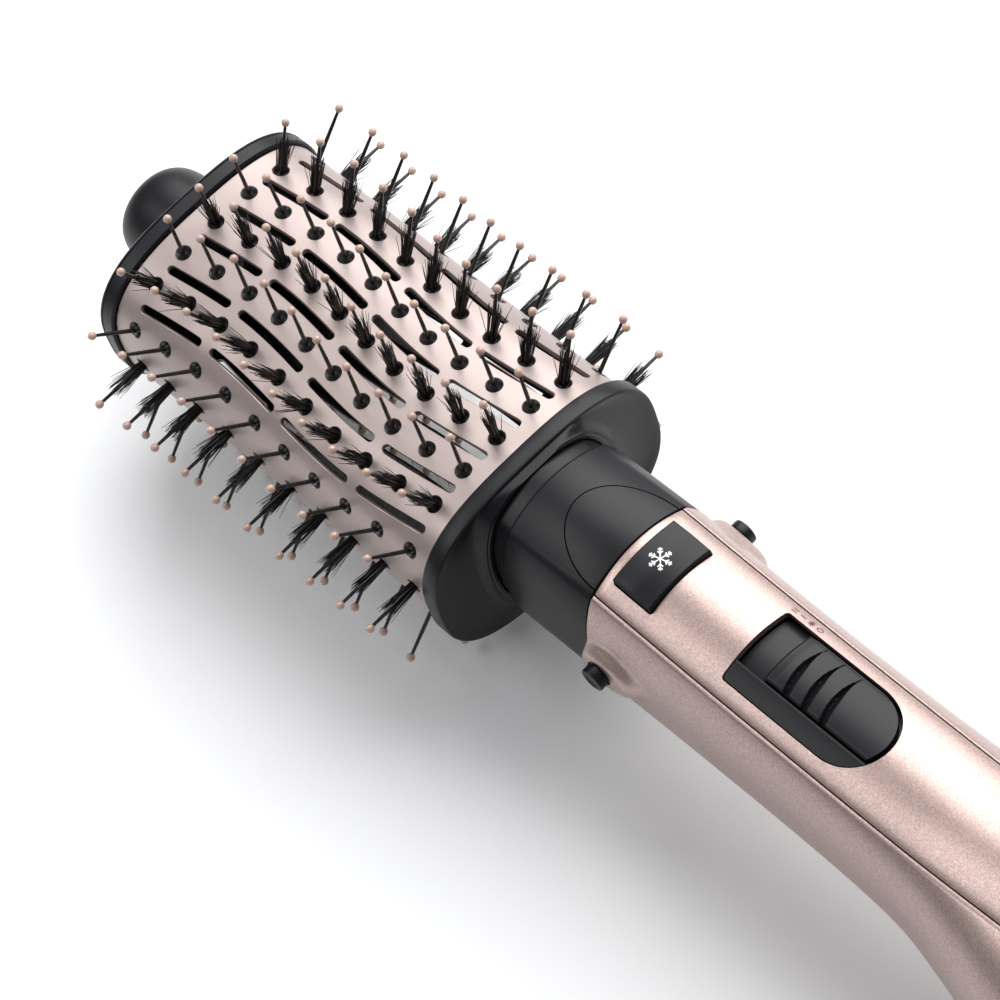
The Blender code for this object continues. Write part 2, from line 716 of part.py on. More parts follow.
def at_reach(point, reach):
    """The point, moved straight from the axis until it is at this distance."""
    share = reach / math.hypot(point.y, point.z)
    return Vector((point.x, point.y * share, point.z * share))


def kept_inside(point, edge, margin):
    """The point, drawn in where it would come closer to the edge than a margin."""
    return at_reach(point, min(math.hypot(point.y, point.z), math.hypot(edge.y, edge.z) - margin))


def kept_outside(point, edge, margin):
    """The point, pushed out where it would come closer to the edge than a margin."""
    return at_reach(point, max(math.hypot(point.y, point.z), math.hypot(edge.y, edge.z) + margin))


def aligned(reference, ring):
    """The ring's points, resampled in the reference's directions from the centre."""
    points = []
    for point in reference:
        angle = math.atan2(point.z, point.y)
        points.append(ray_hit(ring, angle))
    return points


def ray_hit(ring, angle):
    """Where a ray from the axis at an angle crosses a closed section."""
    direction = Vector((math.cos(angle), math.sin(angle)))
    best = None
    for a, b in zip(ring, ring[1:] + ring[:1]):
        start, end = Vector((a.y, a.z)), Vector((b.y, b.z))
        edge = end - start
        cross = direction.x * edge.y - direction.y * edge.x
        if abs(cross) < 1e-9:
            continue
        distance = (start.x * edge.y - start.y * edge.x) / cross
        share = (start.x * direction.y - start.y * direction.x) / cross
        if distance > 0 and -1e-6 <= share <= 1 + 1e-6 and (best is None or distance > best):
            best = distance
    return Vector((ring[0].x, direction.x * best, direction.y * best))


def tongue_outline(inset, overrun):
    """Half an ellipse, open towards the handle, as (x, y) points."""
    rear_x = NECK_FRONT_X + NECK_LENGTH
    length, half = TONGUE_LENGTH - inset, TONGUE_HALF_WIDTH - inset
    points = [(rear_x - length * math.cos(a), half * math.sin(a))
              for a in [math.pi * i / 12 - math.pi / 2 for i in range(13)]]
    return [(rear_x + overrun, -half)] + points + [(rear_x + overrun, half)]


def tongue_tool(name, inset, overrun):
    rings = [[Vector((x, y, z)) for x, y in tongue_outline(inset, overrun)]
             for z in (SPIGOT_RADIUS * 0.5, NECK_EDGE_Z + NECK_CROWN + 5)]
    return from_rings(name, rings, black_plastic())


def neck_wall(name, start, end):
    rings = [neck_section(start), neck_section(end), neck_section(end, NECK_WALL), neck_section(start, NECK_WALL)]
    return from_rings(name, rings, black_plastic(), closed=True)


def neck_sleeve():
    """The neck, with a drawn-in band at its front that passes through the flange's collar."""
    end = NECK_FRONT_X + NECK_LENGTH
    band_end = NECK_FRONT_X + NECK_BAND_LENGTH
    places = [(NECK_FRONT_X, NECK_BAND_DEPTH), (band_end, NECK_BAND_DEPTH),
              (band_end + NECK_BAND_SLOPE, 0.0), (end, 0.0), (end, NECK_WALL),
              (band_end + NECK_WALL, NECK_WALL), (band_end, NECK_BAND_DEPTH + NECK_WALL),
              (NECK_FRONT_X, NECK_BAND_DEPTH + NECK_WALL)]
    rings = [neck_section(x, inset) for x, inset in places]
    sleeve = from_rings("neck_sleeve", rings, black_plastic(), closed=True)
    combine(sleeve, tongue_tool("neck_notch_tool", 0.0, 5.0))


def locating_tongue():
    """The handle's flush tongue, which fills the notch in the top of the neck."""
    tongue = neck_wall("locating_tongue", NECK_FRONT_X + NECK_LENGTH * 0.4, NECK_FRONT_X + NECK_LENGTH)
    combine(tongue, tongue_tool("tongue_shape_tool", GAP, 2.0), "INTERSECT")


def neck_spigot():
    """A web inside the neck with the round spigot that plugs into the handle."""
    web_x = NECK_FRONT_X + NECK_LENGTH - WEB_FROM_REAR
    rise = NECK_RISE * (TONGUE_LENGTH - WEB_FROM_REAR) / NECK_LENGTH   # so it clears the tongue's nose
    outer = neck_section(web_x, NECK_WALL + 2 * GAP + rise)
    tip_x = HANDLE_X + SPIGOT_LENGTH
    inner_radius = SPIGOT_RADIUS - SPIGOT_WALL
    rings = [outer, moved(outer, web_x + WEB_THICKNESS),
             moved(circle_for(outer, 0, SPIGOT_RADIUS), web_x + WEB_THICKNESS),
             moved(circle_for(outer, 0, SPIGOT_RADIUS), tip_x),
             moved(circle_for(outer, 0, inner_radius), tip_x), circle_for(outer, 0, inner_radius)]
    from_rings("neck_spigot", rings, black_plastic(), closed=True)


# ---- handle -----------------------------------------------------------------------------
def handle_xs(start, end):
    """Section places along the handle: the ends and every station between them."""
    inner = [HANDLE_X + share * HANDLE_LENGTH for share, *_ in HANDLE_STATIONS]
    return [start] + [x for x in inner if start + 1 < x < end - 1] + [end]


def handle_top_shell():
    """The crowned deck that carries the controls."""
    rings = []
    half = DECK_HALF_WIDTH - GAP
    for x in handle_xs(HANDLE_X, HANDLE_END_X):
        outer = [(y, deck_z(x, y)) for y, _ in deck_arc(half, 0, 0)]
        inner = [(y, z - DECK_THICKNESS) for y, z in outer[::-1]]
        rings.append([Vector((x, y, z)) for y, z in outer + inner])
    deck = from_rings("handle_top_shell", rings, rose_metal())
    start = HANDLE_X + BUTTON_FROM_FRONT - GAP
    combine(deck, box("button_opening_tool", (start, -BUTTON_HALF_WIDTH - GAP, 0),
                      (start + BUTTON_LENGTH + 2 * GAP, BUTTON_HALF_WIDTH + GAP, 40), rose_metal()))
    combine(deck, recess_tool("recess_opening_tool", 0.0))


def recess_outline(inset):
    """Straight front, parallel sides and a rounded rear, as (x, y) points."""
    front = HANDLE_X + RECESS_FROM_FRONT + inset
    rear = HANDLE_X + RECESS_FROM_FRONT + RECESS_LENGTH - inset
    half = RECESS_HALF_WIDTH - inset
    nose = half * 1.15
    points = [(front, -half)]
    for i in range(9):
        angle = math.pi * (i / 8 - 0.5)
        points.append((rear - nose + nose * math.cos(angle), half * math.sin(angle)))
    return points + [(front, half)]


def recess_tool(name, inset, low=0.0, high=40.0):
    rings = [[Vector((x, y, z)) for x, y in recess_outline(inset)] for z in (low, high)]
    return from_rings(name, rings, black_plastic())


def deck_block(name, start, end, side_low, side_high, top, depth, finish, origin=(0, 0, 0)):
    """A block that follows the deck's surface, offset by top, between two y values."""
    rings = []
    for x in handle_xs(start, end):
        ys = [side_low + (side_high - side_low) * i / 6 for i in range(7)]
        upper = [(y, deck_z(x, y) + top) for y in ys]
        lower = [(y, z - depth) for y, z in upper[::-1]]
        rings.append([Vector((x, y, z)) for y, z in upper + lower])
    return from_rings(name, rings, finish, origin=origin)


def handle_lower_shell():
    """The deep shell under the deck, with a ledge for it, and the bosses of the two pegs."""
    rings = []
    for x in handle_xs(HANDLE_X, HANDLE_END_X):
        half_width, edge_z, mid_z, bottom_z = handle_at(x)
        ledge_z = ledge_height(edge_z)
        ledge_y = DECK_HALF_WIDTH - LEDGE_WIDTH
        outer = side_curve(half_width, (DECK_HALF_WIDTH, edge_z), mid_z, bottom_z)
        inner = side_curve(half_width - SHELL_WALL, (ledge_y, ledge_z), mid_z, bottom_z + SHELL_WALL)
        right = outer + [(-y, z) for y, z in outer[-2::-1]]
        left = [(-y, z) for y, z in inner] + inner[-2::-1]
        points = right + [(-DECK_HALF_WIDTH, ledge_z)] + left + [(DECK_HALF_WIDTH, ledge_z)]
        rings.append([Vector((x, y, z)) for y, z in points])
    shell = from_rings("handle_lower_shell", rings, rose_metal())
    for side in (-1, 1):
        combine(shell, peg_boss(side), "UNION")
    for side in (-1, 1):
        bore = bmesh.new()
        profile = [(PEG_INNER_Y - 1, PEG_FLANGE_RADIUS + GAP), (PEG_STOP_Y, PEG_FLANGE_RADIUS + GAP),
                   (PEG_STOP_Y, PEG_RADIUS + GAP), (PEG_TIP_Y + 1, PEG_RADIUS + GAP)]
        add_spindle(bore, [(side * y, r) for y, r in profile], "y", (PEG_X, 0, PEG_Z), 12)
        combine(shell, add_object(f"peg_bore_tool_{side_name(side)}", bore, rose_metal()))
    combine(shell, screw_bore_tool())
    return shell


def side_name(side):
    return "right" if side > 0 else "left"


def peg_boss(side):
    """A boss on the shell's side, drawn out to a teardrop towards the tail."""
    rings = []
    for y, radius, tail in ((HANDLE_SIDE_Y - SHELL_WALL * 0.7, 1.1, 2.6), (BOSS_END_Y - 0.8, 1.0, 1.5),
                            (BOSS_END_Y, 0.85, 1.2)):
        ring = []
        for i in range(16):
            angle = 2 * math.pi * i / 16
            reach = BOSS_RADIUS * radius * (tail if math.cos(angle) > 0 else 0.8)
            ring.append(Vector((PEG_X + reach * math.cos(angle), side * y,
                                PEG_Z + BOSS_RADIUS * radius * math.sin(angle))))
        rings.append(ring)
    return from_rings(f"peg_boss_tool_{side_name(side)}", rings, rose_metal())


def release_peg(side):
    """A peg that is pressed inwards to let the brush head go; its flange keeps it in."""
    rest_y = PEG_INNER_Y + PEG_TRAVEL
    profile = [(rest_y, PEG_FLANGE_RADIUS), (rest_y + PEG_FLANGE, PEG_FLANGE_RADIUS),
               (rest_y + PEG_FLANGE, PEG_RADIUS), (PEG_TIP_Y - 0.6, PEG_RADIUS), (PEG_TIP_Y, PEG_RADIUS - 0.6)]
    mirrored = [(side * y, r) for y, r in profile]
    turned(f"release_peg_{side_name(side)}", mirrored, black_plastic(), "y", (PEG_X, 0, PEG_Z), 16,
           solid=True, origin=(PEG_X, side * PEG_TIP_Y, PEG_Z))


def socket_ring():
    """The ring inside the handle's mouth that the neck's spigot slides into."""
    front_x = HANDLE_X + 2 * GAP
    rear_x = HANDLE_X + SPIGOT_LENGTH + 1.0
    rings = []
    for x in (front_x, rear_x):
        rings.append(bay_section(x))
    bore = SPIGOT_RADIUS + GAP
    rings += [moved(circle_for(rings[0], 0, bore), rear_x), moved(circle_for(rings[0], 0, bore), front_x)]
    ring = from_rings("socket_ring", rings, black_plastic(), closed=True)
    combine(ring, box("socket_top_tool", (front_x - 1, -11.6, SOCKET_TOP_Z), (rear_x + 1, 11.6, 40),
                      black_plastic()))
    for side in (-1, 1):
        pocket = bmesh.new()
        add_spindle(pocket, [(side * (bore - 4), PEG_FLANGE_RADIUS + GAP),
                             (side * PEG_TIP_Y, PEG_FLANGE_RADIUS + GAP)], "y", (PEG_X, 0, PEG_Z), 12)
        combine(ring, add_object(f"peg_pocket_tool_{side_name(side)}", pocket, black_plastic()))
    screw = bmesh.new()
    add_spindle(screw, [(-40, CASE_SCREW_RADIUS + GAP), (-SPIGOT_RADIUS - 1.5, CASE_SCREW_RADIUS + GAP)],
                "z", (CASE_SCREW_X, 0, 0), 10)
    combine(ring, add_object("socket_screw_tool", screw, black_plastic()))


def shell_bottom_z(x):
    return handle_at(x)[3]


def screw_bore_tool():
    """A stepped bore through the shell's bottom for the case screw."""
    bottom = shell_bottom_z(CASE_SCREW_X)
    bore = bmesh.new()
    profile = [(bottom - 2, CASE_SCREW_RADIUS * 2 + GAP), (bottom + 1.2, CASE_SCREW_RADIUS * 2 + GAP),
               (bottom + 1.2, CASE_SCREW_RADIUS + GAP), (bottom + SHELL_WALL + 2, CASE_SCREW_RADIUS + GAP)]
    add_spindle(bore, profile, "z", (CASE_SCREW_X, 0, 0), 10)
    return add_object("case_screw_bore_tool", bore, rose_metal())


def case_screw():
    bottom = shell_bottom_z(CASE_SCREW_X)
    head = CASE_SCREW_RADIUS * 2
    profile = [(bottom + 0.2, head * 0.9), (bottom + 0.9, head), (bottom + 0.9, CASE_SCREW_RADIUS),
               (-SPIGOT_RADIUS - 1.5 - GAP, CASE_SCREW_RADIUS)]
    turned("case_screw", profile, steel(), "z", (CASE_SCREW_X, 0, 0), 10, solid=True)


# ---- controls ---------------------------------------------------------------------------
def cool_shot_button():
    """A crowned cap over the momentary switch, hollow underneath."""
    start = HANDLE_X + BUTTON_FROM_FRONT
    middle = start + BUTTON_LENGTH / 2
    top_z = deck_z(middle, 0) + BUTTON_PROUD
    origin = (middle, 0, top_z)
    skirt_z = BOARD_Z + BOARD_THICKNESS + BUTTON_TRAVEL + 2 * GAP
    rings = []
    for x, lift in ((start, 0.2), (start + 0.8, 0.0), (start + BUTTON_LENGTH - 0.8, 0.3),
                    (start + BUTTON_LENGTH, 0.6)):
        ys = [BUTTON_HALF_WIDTH * (i / 4 - 1) for i in range(9)]
        upper = [(y, deck_z(x, y) + BUTTON_PROUD - lift) for y in ys]
        points = upper + [(BUTTON_HALF_WIDTH, skirt_z), (-BUTTON_HALF_WIDTH, skirt_z)]
        rings.append([Vector((x, y, z)) for y, z in points])
    button = from_rings("cool_shot_button", rings, black_plastic(), origin=origin)
    hollow = box("button_hollow_tool", (start + 1.2, -BUTTON_HOLLOW_HALF, skirt_z - 2),
                 (start + BUTTON_LENGTH - 1.2, BUTTON_HOLLOW_HALF, button_ceiling()), black_plastic())
    combine(button, hollow)


def button_ceiling():
    """Height of the hollow's ceiling, under the lowest part of the button's roof."""
    return deck_z(BUTTON_X + BUTTON_LENGTH, BUTTON_HOLLOW_HALF) - BUTTON_ROOF


def cool_shot_switch():
    """The momentary switch under the button, on its own small board."""
    middle = HANDLE_X + BUTTON_FROM_FRONT + BUTTON_LENGTH / 2
    box("cool_shot_board", (middle - 3.6, -7.2, BOARD_Z), (middle + 3.6, 7.2, BOARD_Z + BOARD_THICKNESS),
        circuit_board())
    switch_z = BOARD_Z + BOARD_THICKNESS + GAP
    top_z = button_ceiling() - BUTTON_TRAVEL - GAP
    box("cool_shot_switch", (middle - 2.6, -2.6, switch_z), (middle + 2.6, 2.6, top_z), grey_plastic())


def switch_bezel():
    """The black tray in the deck: a raised strip on one side, the slider's channel beside it."""
    start = HANDLE_X + RECESS_FROM_FRONT - 1
    end = start + RECESS_LENGTH + 2
    tray = deck_block("switch_bezel", start, end, -RECESS_HALF_WIDTH - 1, RECESS_HALF_WIDTH + 1,
                      -0.25, RECESS_DEPTH + 1.2, black_plastic())
    combine(tray, recess_tool("bezel_outline_tool", GAP), "INTERSECT")
    combine(tray, deck_block("bezel_channel_tool", start - 1, end + 1, CHANNEL_LOW_Y,
                             RECESS_HALF_WIDTH + 3, 3.0, RECESS_DEPTH + 3.0, black_plastic()))
    combine(tray, box("bezel_stem_tool", (STEM_X - SLIDER_TRAVEL - 1.2, STEM_Y - 2.4, 0),
                      (STEM_X + STEM_LENGTH + 1.2, STEM_Y + 2.4, 40), black_plastic()))


def switch_slider():
    """The sliding thumb piece, with three grip grooves and a stem down to the switch."""
    origin = (SLIDER_X, STEM_Y, deck_z(SLIDER_X, STEM_Y))
    top = SLIDER_PROUD
    depth = RECESS_DEPTH + SLIDER_PROUD - GAP
    slider = deck_block("switch_slider", SLIDER_X, SLIDER_END_X + 2, CHANNEL_LOW_Y + GAP,
                        RECESS_HALF_WIDTH + 1, top, depth, black_plastic(), origin=origin)
    combine(slider, recess_tool("slider_outline_tool", 2 * GAP + 0.4), "INTERSECT")
    for i in range(3):
        groove_x = SLIDER_X + 6.5 + 5.0 * i
        combine(slider, deck_block(f"slider_groove_tool_{i + 1}", groove_x, groove_x + 1.6,
                                   STEM_Y - 5.2, STEM_Y + 5.2, 4.0, 4.0, black_plastic()))
    low_z = deck_z(STEM_X, STEM_Y) - RECESS_DEPTH - STEM_DEPTH
    combine(slider, box("slider_stem_tool", (STEM_X, STEM_Y - 1.6, low_z),
                        (STEM_X + STEM_LENGTH, STEM_Y + 1.6, low_z + STEM_DEPTH + 1.0),
                        black_plastic()), "UNION")


def switch_internals():
    """The slide switch's body under the stem, and the control board that it stands on."""
    stem_low_z = deck_z(STEM_X, STEM_Y) - RECESS_DEPTH - STEM_DEPTH
    top_z = stem_low_z - 2 * GAP
    box("slide_switch_body", (STEM_X - SLIDER_TRAVEL - 3, STEM_Y - 3.5, top_z - 6.0),
        (STEM_X + STEM_LENGTH + 3, STEM_Y + 3.5, top_z), grey_plastic())
    board_z = top_z - 6.0 - GAP
    box("control_board", (HEATER_REAR_X + 3, -10.5, board_z - 1.6),
        (HANDLE_X + RECESS_FROM_FRONT + RECESS_LENGTH + 8, 10.5, board_z), circuit_board())


# ---- heater, motor, fan and tail --------------------------------------------------------
def heater():
    """The heater tube, which stands out of the handle's mouth, and what it holds."""
    web_x = HANDLE_X + SPIGOT_LENGTH + 4.0
    outer = bay_section(web_x)
    tube = circle_for(outer, 0, HEATER_RADIUS)
    inner = circle_for(outer, 0, HEATER_RADIUS - HEATER_WALL)
    rings = [outer, bay_section(web_x + 1.4), moved(tube, web_x + 1.4), moved(tube, HEATER_REAR_X),
             moved(inner, HEATER_REAR_X), moved(inner, HEATER_FRONT_X), moved(tube, HEATER_FRONT_X), tube]
    from_rings("heater_tube", rings, steel(), closed=True)
    mica_half = COIL_RADIUS - COIL_WIRE_RADIUS - 0.5
    mica_start, mica_end = HEATER_FRONT_X + 2, HEATER_REAR_X - 2
    cross = box("mica_cross", (mica_start, -mica_half, -0.5), (mica_end, mica_half, 0.5), mica())
    combine(cross, box("mica_upright_tool", (mica_start, -0.5, -mica_half), (mica_end, 0.5, mica_half),
                       mica()), "UNION")
    heater_coil(mica_start + 3, mica_end - 9)
    middle = mica_half * 0.52
    box("thermal_cutout", (mica_end - 7, middle - 2.5, middle - 2.0), (mica_end - 1, middle + 2.5,
                                                                     middle + 2.0), steel())


def heater_coil(start, end):
    """Resistance wire wound as a helix round the mica cross."""
    steps = COIL_TURNS * 8
    rings = []
    pitch = (end - start) / COIL_TURNS
    for i in range(steps + 1):
        angle = 2 * math.pi * i / 8
        centre = Vector((start + pitch * i / 8, COIL_RADIUS * math.cos(angle),
                         COIL_RADIUS * math.sin(angle)))
        radial = Vector((0, math.cos(angle), math.sin(angle)))
        tangent = Vector((pitch / (2 * math.pi), -COIL_RADIUS * math.sin(angle),
                          COIL_RADIUS * math.cos(angle))).normalized()
        binormal = tangent.cross(radial)
        rings.append([centre + radial * COIL_WIRE_RADIUS * math.cos(turn)
                      + binormal * COIL_WIRE_RADIUS * math.sin(turn)
                      for turn in (0.0, math.pi / 2, math.pi, 3 * math.pi / 2)])
    from_rings("heater_coil", rings, heater_wire())


def motor_and_mount():
    bore = SHAFT_RADIUS + GAP
    can = [(MOTOR_X, MOTOR_RADIUS * 0.75), (MOTOR_X + 1.5, MOTOR_RADIUS), (MOTOR_END_X - 1.5, MOTOR_RADIUS),
           (MOTOR_END_X, MOTOR_RADIUS * 0.8), (MOTOR_END_X, bore), (MOTOR_END_X - 6, bore)]
    turned("fan_motor", can, steel(), base=(0, 0, TAIL_AXIS_Z), count=20, solid=True)
    inner = MOTOR_RADIUS + GAP
    outer = inner + MOUNT_WALL
    start, end = MOTOR_X + 4, MOTOR_END_X - 5
    mount = turned("motor_mount", [(start, outer), (end, outer), (end, inner), (start, inner)],
                   grey_plastic(), base=(0, 0, TAIL_AXIS_Z), count=20)
    fin_reach = fin_end(start, end)
    for side in (-1, 1):
        name = side_name(side)
        low, high = sorted((side * (inner + 0.5), side * fin_reach))
        combine(mount, box(f"mount_fin_tool_{name}", (start + 2, low, TAIL_AXIS_Z - 1.2),
                           (end - 2, high, TAIL_AXIS_Z + 1.2), grey_plastic()), "UNION")


def fin_end(start, end):
    """Half width that a fin at the motor's height may reach inside the shell."""
    narrow = min(handle_at(x)[0] for x in (start + 2, end - 2))
    return narrow - SHELL_WALL - 2 * GAP


def fan_rotor():
    """The rotor: a hub with swept blades, turning on its shaft inside the housing."""
    origin = (FAN_X, 0, TAIL_AXIS_Z)
    hub = FAN_RADIUS * 0.38
    bore = SHAFT_RADIUS + GAP
    rotor = turned("fan_rotor", [(FAN_X, hub), (FAN_END_X - 2, hub), (FAN_END_X, hub * 0.7), (FAN_END_X, bore),
                                 (FAN_X, bore)], grey_plastic(), base=(0, 0, TAIL_AXIS_Z), count=14,
                   origin=origin)
    blades = bmesh.new()
    for i in range(FAN_BLADES):
        rings = []
        for share in (0.0, 0.5, 1.0):
            radius = blend(hub - 1.5, FAN_RADIUS, share)
            ring = []
            for along, turn in ((0.6, 0.0), (FAN_LENGTH - 1.2, 0.55), (FAN_LENGTH - 0.4, 0.55), (1.4, 0.0)):
                angle = 2 * math.pi * i / FAN_BLADES + turn * (1 - 0.25 * share)
                ring.append(Vector((FAN_X + along, radius * math.cos(angle),
                                    TAIL_AXIS_Z + radius * math.sin(angle))))
            rings.append(ring)
        add_rings(blades, rings)
    combine(rotor, add_object("fan_blades_tool", blades, grey_plastic()), "UNION")
    shaft = [(MOTOR_END_X - 5.4, SHAFT_RADIUS), (FAN_END_X + 0.8, SHAFT_RADIUS)]
    turned("motor_shaft", shaft, steel(), base=(0, 0, TAIL_AXIS_Z), count=12, solid=True, origin=origin)


def fan_housing():
    """The bulkhead across the tail with the round housing that the fan turns in."""
    plate_x = FAN_END_X + 2.0
    outer = bay_section(plate_x)
    inner_radius = FAN_RADIUS + FAN_TIP_GAP
    outer_radius = inner_radius + FAN_HOUSING_WALL
    front_x = FAN_X - 2.0
    tube = circle_for(outer, TAIL_AXIS_Z, outer_radius)
    bore = circle_for(outer, TAIL_AXIS_Z, inner_radius)
    rings = [outer, tube, moved(tube, front_x), moved(bore, front_x), moved(bore, plate_x + 1.6),
             bay_section(plate_x + 1.6)]
    from_rings("fan_housing", rings, black_plastic(), closed=True)


def cover_section(x, inset, shrink):
    """The rear cover's outline: the handle's last section drawn in towards the tail's axis."""
    ring = handle_section(HANDLE_END_X, inset)
    centre = Vector((0, 0, TAIL_AXIS_Z))
    return [Vector((x, point.y * shrink, centre.z + (point.z - centre.z) * shrink)) for point in ring]


def rear_cover():
    """The tail's end: a dished cover with the air inlet's slots round the cord's gland."""
    front_x = HANDLE_END_X + GAP
    wall = REAR_COVER_WALL
    outer = [(front_x, 1.0), (front_x + REAR_COVER_DEPTH * 0.5, 0.97), (front_x + REAR_COVER_DEPTH * 0.85, 0.9),
             (COVER_END_X, 0.8)]
    rings = [cover_section(x, 0.0, shrink) for x, shrink in outer]
    rings.append(moved(circle_for(rings[-1], TAIL_AXIS_Z, GLAND_RADIUS + GAP), COVER_END_X))
    rings.append(moved(rings[-1], COVER_END_X - wall))
    inner = [(COVER_END_X - wall, 0.78), (front_x + REAR_COVER_DEPTH * 0.5, 0.93), (front_x, 0.94)]
    rings += [cover_section(x, wall * 0.6, shrink) for x, shrink in inner]
    cover = from_rings("rear_cover", rings, black_plastic(), closed=True)
    slots = bmesh.new()
    for i in range(INLET_SLOTS):
        angle = 2 * math.pi * (i + 0.5) / INLET_SLOTS
        out = Vector((0, math.cos(angle), math.sin(angle)))
        side = Vector((0, -math.sin(angle), math.cos(angle))) * INLET_SLOT_HALF_WIDTH
        base = Vector((0, 0, TAIL_AXIS_Z))
        rings = []
        for x in (COVER_END_X - wall - 1.5, COVER_END_X + 2):
            along = Vector((x, 0, 0)) + base
            rings.append([along + out * INLET_INNER_RADIUS - side, along + out * INLET_OUTER_RADIUS - side,
                          along + out * INLET_OUTER_RADIUS + side, along + out * INLET_INNER_RADIUS + side])
        add_rings(slots, rings)
    combine(cover, add_object("inlet_slots_tool", slots, black_plastic()))


def dust_filter():
    """A thin mesh disc held just inside the rear cover's slots."""
    x = COVER_END_X - REAR_COVER_WALL - 2.6
    hole = GLAND_RADIUS + 3.2
    profile = [(x, INLET_OUTER_RADIUS), (x + 0.8, INLET_OUTER_RADIUS), (x + 0.8, hole), (x, hole)]
    turned("dust_filter", profile, filter_mesh(), base=(0, 0, TAIL_AXIS_Z))


def cord_gland():
    """The swivel that the cord would leave by: it turns in the rear cover on its flange."""
    wall_x = COVER_END_X - REAR_COVER_WALL
    flange = GLAND_RADIUS + 2.0
    profile = [(wall_x - 2.4, flange), (wall_x - GAP, flange), (wall_x - GAP, GLAND_RADIUS),
               (COVER_END_X + 3, GLAND_RADIUS), (COVER_END_X + 5, GLAND_RADIUS * 0.9),
               (TAIL_X, GLAND_RADIUS * 0.76), (TAIL_X, CORD_BORE_RADIUS), (wall_x - 2.4, CORD_BORE_RADIUS)]
    turned("cord_gland", profile, black_plastic(), base=(0, 0, TAIL_AXIS_Z), count=20,
           origin=(COVER_END_X, 0, TAIL_AXIS_Z))


def hang_loop():
    """A fixed half-round loop above the gland, to hang the brush by."""
    base_x = COVER_END_X + GAP
    centre_z = TAIL_AXIS_Z + GLAND_RADIUS + 8.0
    rings = []
    for i in range(13):
        angle = math.pi * i / 12 - math.pi / 2
        centre = Vector((base_x + LOOP_RADIUS * math.cos(angle), LOOP_RADIUS * math.sin(angle), centre_z))
        if i in (0, 12):
            centre.x = base_x
        radial = Vector((math.cos(angle), math.sin(angle), 0))
        rings.append([centre + radial * LOOP_WIRE_RADIUS * math.cos(turn)
                      + Vector((0, 0, LOOP_WIRE_RADIUS * math.sin(turn)))
                      for turn in [math.pi / 4 * k for k in range(8)]])
    from_rings("hang_loop", rings, black_plastic())


def build():
    for item in list(bpy.data.objects):
        bpy.data.objects.remove(item, do_unlink=True)
    axis = bpy.data.objects.new("brush_axis", None)
    bpy.context.collection.objects.link(axis)
    axis.location = Vector((-CENTRE_X, 0, AXIS_Z)) * MM
    brush_barrel()
    for row in range(ROW_COUNT):
        bristle_strip(row)
    carriers()
    front_cap()
    nose_knob()
    nose_screw()
    rear_flange()
    neck_sleeve()
    neck_spigot()
    locating_tongue()
    handle_top_shell()
    handle_lower_shell()
    socket_ring()
    case_screw()
    for side in (-1, 1):
        release_peg(side)
    cool_shot_button()
    cool_shot_switch()
    switch_bezel()
    switch_slider()
    switch_internals()
    heater()
    motor_and_mount()
    fan_rotor()
    fan_housing()
    rear_cover()
    dust_filter()
    cord_gland()
    hang_loop()


build()
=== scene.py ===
# Hot air brush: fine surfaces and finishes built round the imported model.
import math
import random

import bmesh
import bpy
from mathutils import Matrix, Vector, geometry


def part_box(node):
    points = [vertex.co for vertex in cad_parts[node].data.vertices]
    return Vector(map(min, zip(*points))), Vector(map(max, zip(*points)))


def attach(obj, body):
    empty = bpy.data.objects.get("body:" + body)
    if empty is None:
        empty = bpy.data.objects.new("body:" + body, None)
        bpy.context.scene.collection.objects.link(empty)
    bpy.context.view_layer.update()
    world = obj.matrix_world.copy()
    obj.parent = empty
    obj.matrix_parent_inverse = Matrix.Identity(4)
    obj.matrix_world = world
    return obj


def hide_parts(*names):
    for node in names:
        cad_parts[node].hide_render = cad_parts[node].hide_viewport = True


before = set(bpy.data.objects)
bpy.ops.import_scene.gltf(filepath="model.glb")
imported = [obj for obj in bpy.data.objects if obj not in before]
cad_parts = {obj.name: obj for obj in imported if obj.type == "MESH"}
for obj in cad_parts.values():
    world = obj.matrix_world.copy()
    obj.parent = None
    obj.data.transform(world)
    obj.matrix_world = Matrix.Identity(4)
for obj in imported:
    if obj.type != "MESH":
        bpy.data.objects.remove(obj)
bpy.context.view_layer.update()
print("frame loaded")

mm = 0.001
barrelLow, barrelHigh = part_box("brush_barrel")
axisX = (barrelLow.x + barrelHigh.x) / 2      # the barrel's middle
axisZ = (barrelLow.z + barrelHigh.z) / 2


def onAxis(point):      # a place in the model's frame, in mm along and around the barrel's axis
    return Vector(((point.x - axisX) / mm, point.y / mm, (point.z - axisZ) / mm))


def boxOf(node):
    low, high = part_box(node)
    return onAxis(low), onAxis(high)


def inFrame(point):     # and back again, in metres
    return Vector((axisX + point[0] * mm, point[1] * mm, axisZ + point[2] * mm))


def blend(a, b, t):
    return a + (b - a) * t


def spread(start, end, step=1.0, count=None):       # even places with both ends, about a step apart
    count = count or max(round((end - start) / step), 1)
    return [blend(start, end, i / count) for i in range(count + 1)]


def smooth(low, high, value):
    t = min(max((value - low) / (high - low), 0.0), 1.0)
    return t * t * (3 - 2 * t)


# finishes

def addNode(tree, kind, links=None, **settings):
    made = tree.nodes.new(kind)
    for key, value in settings.items():
        setattr(made, key, value)
    for key, value in (links or {}).items():
        if isinstance(value, bpy.types.NodeSocket):
            tree.links.new(value, made.inputs[key])
        else:
            made.inputs[key].default_value = value
    return made


def addMath(tree, operation, *values):      # a sum on numbers, as its result
    return addNode(tree, "ShaderNodeMath", dict(enumerate(values)), operation=operation).outputs[0]


def addVector(tree, operation, *values, **named):       # and on vectors
    return addNode(tree, "ShaderNodeVectorMath", {**dict(enumerate(values)), **named},
                   operation=operation).outputs[0]


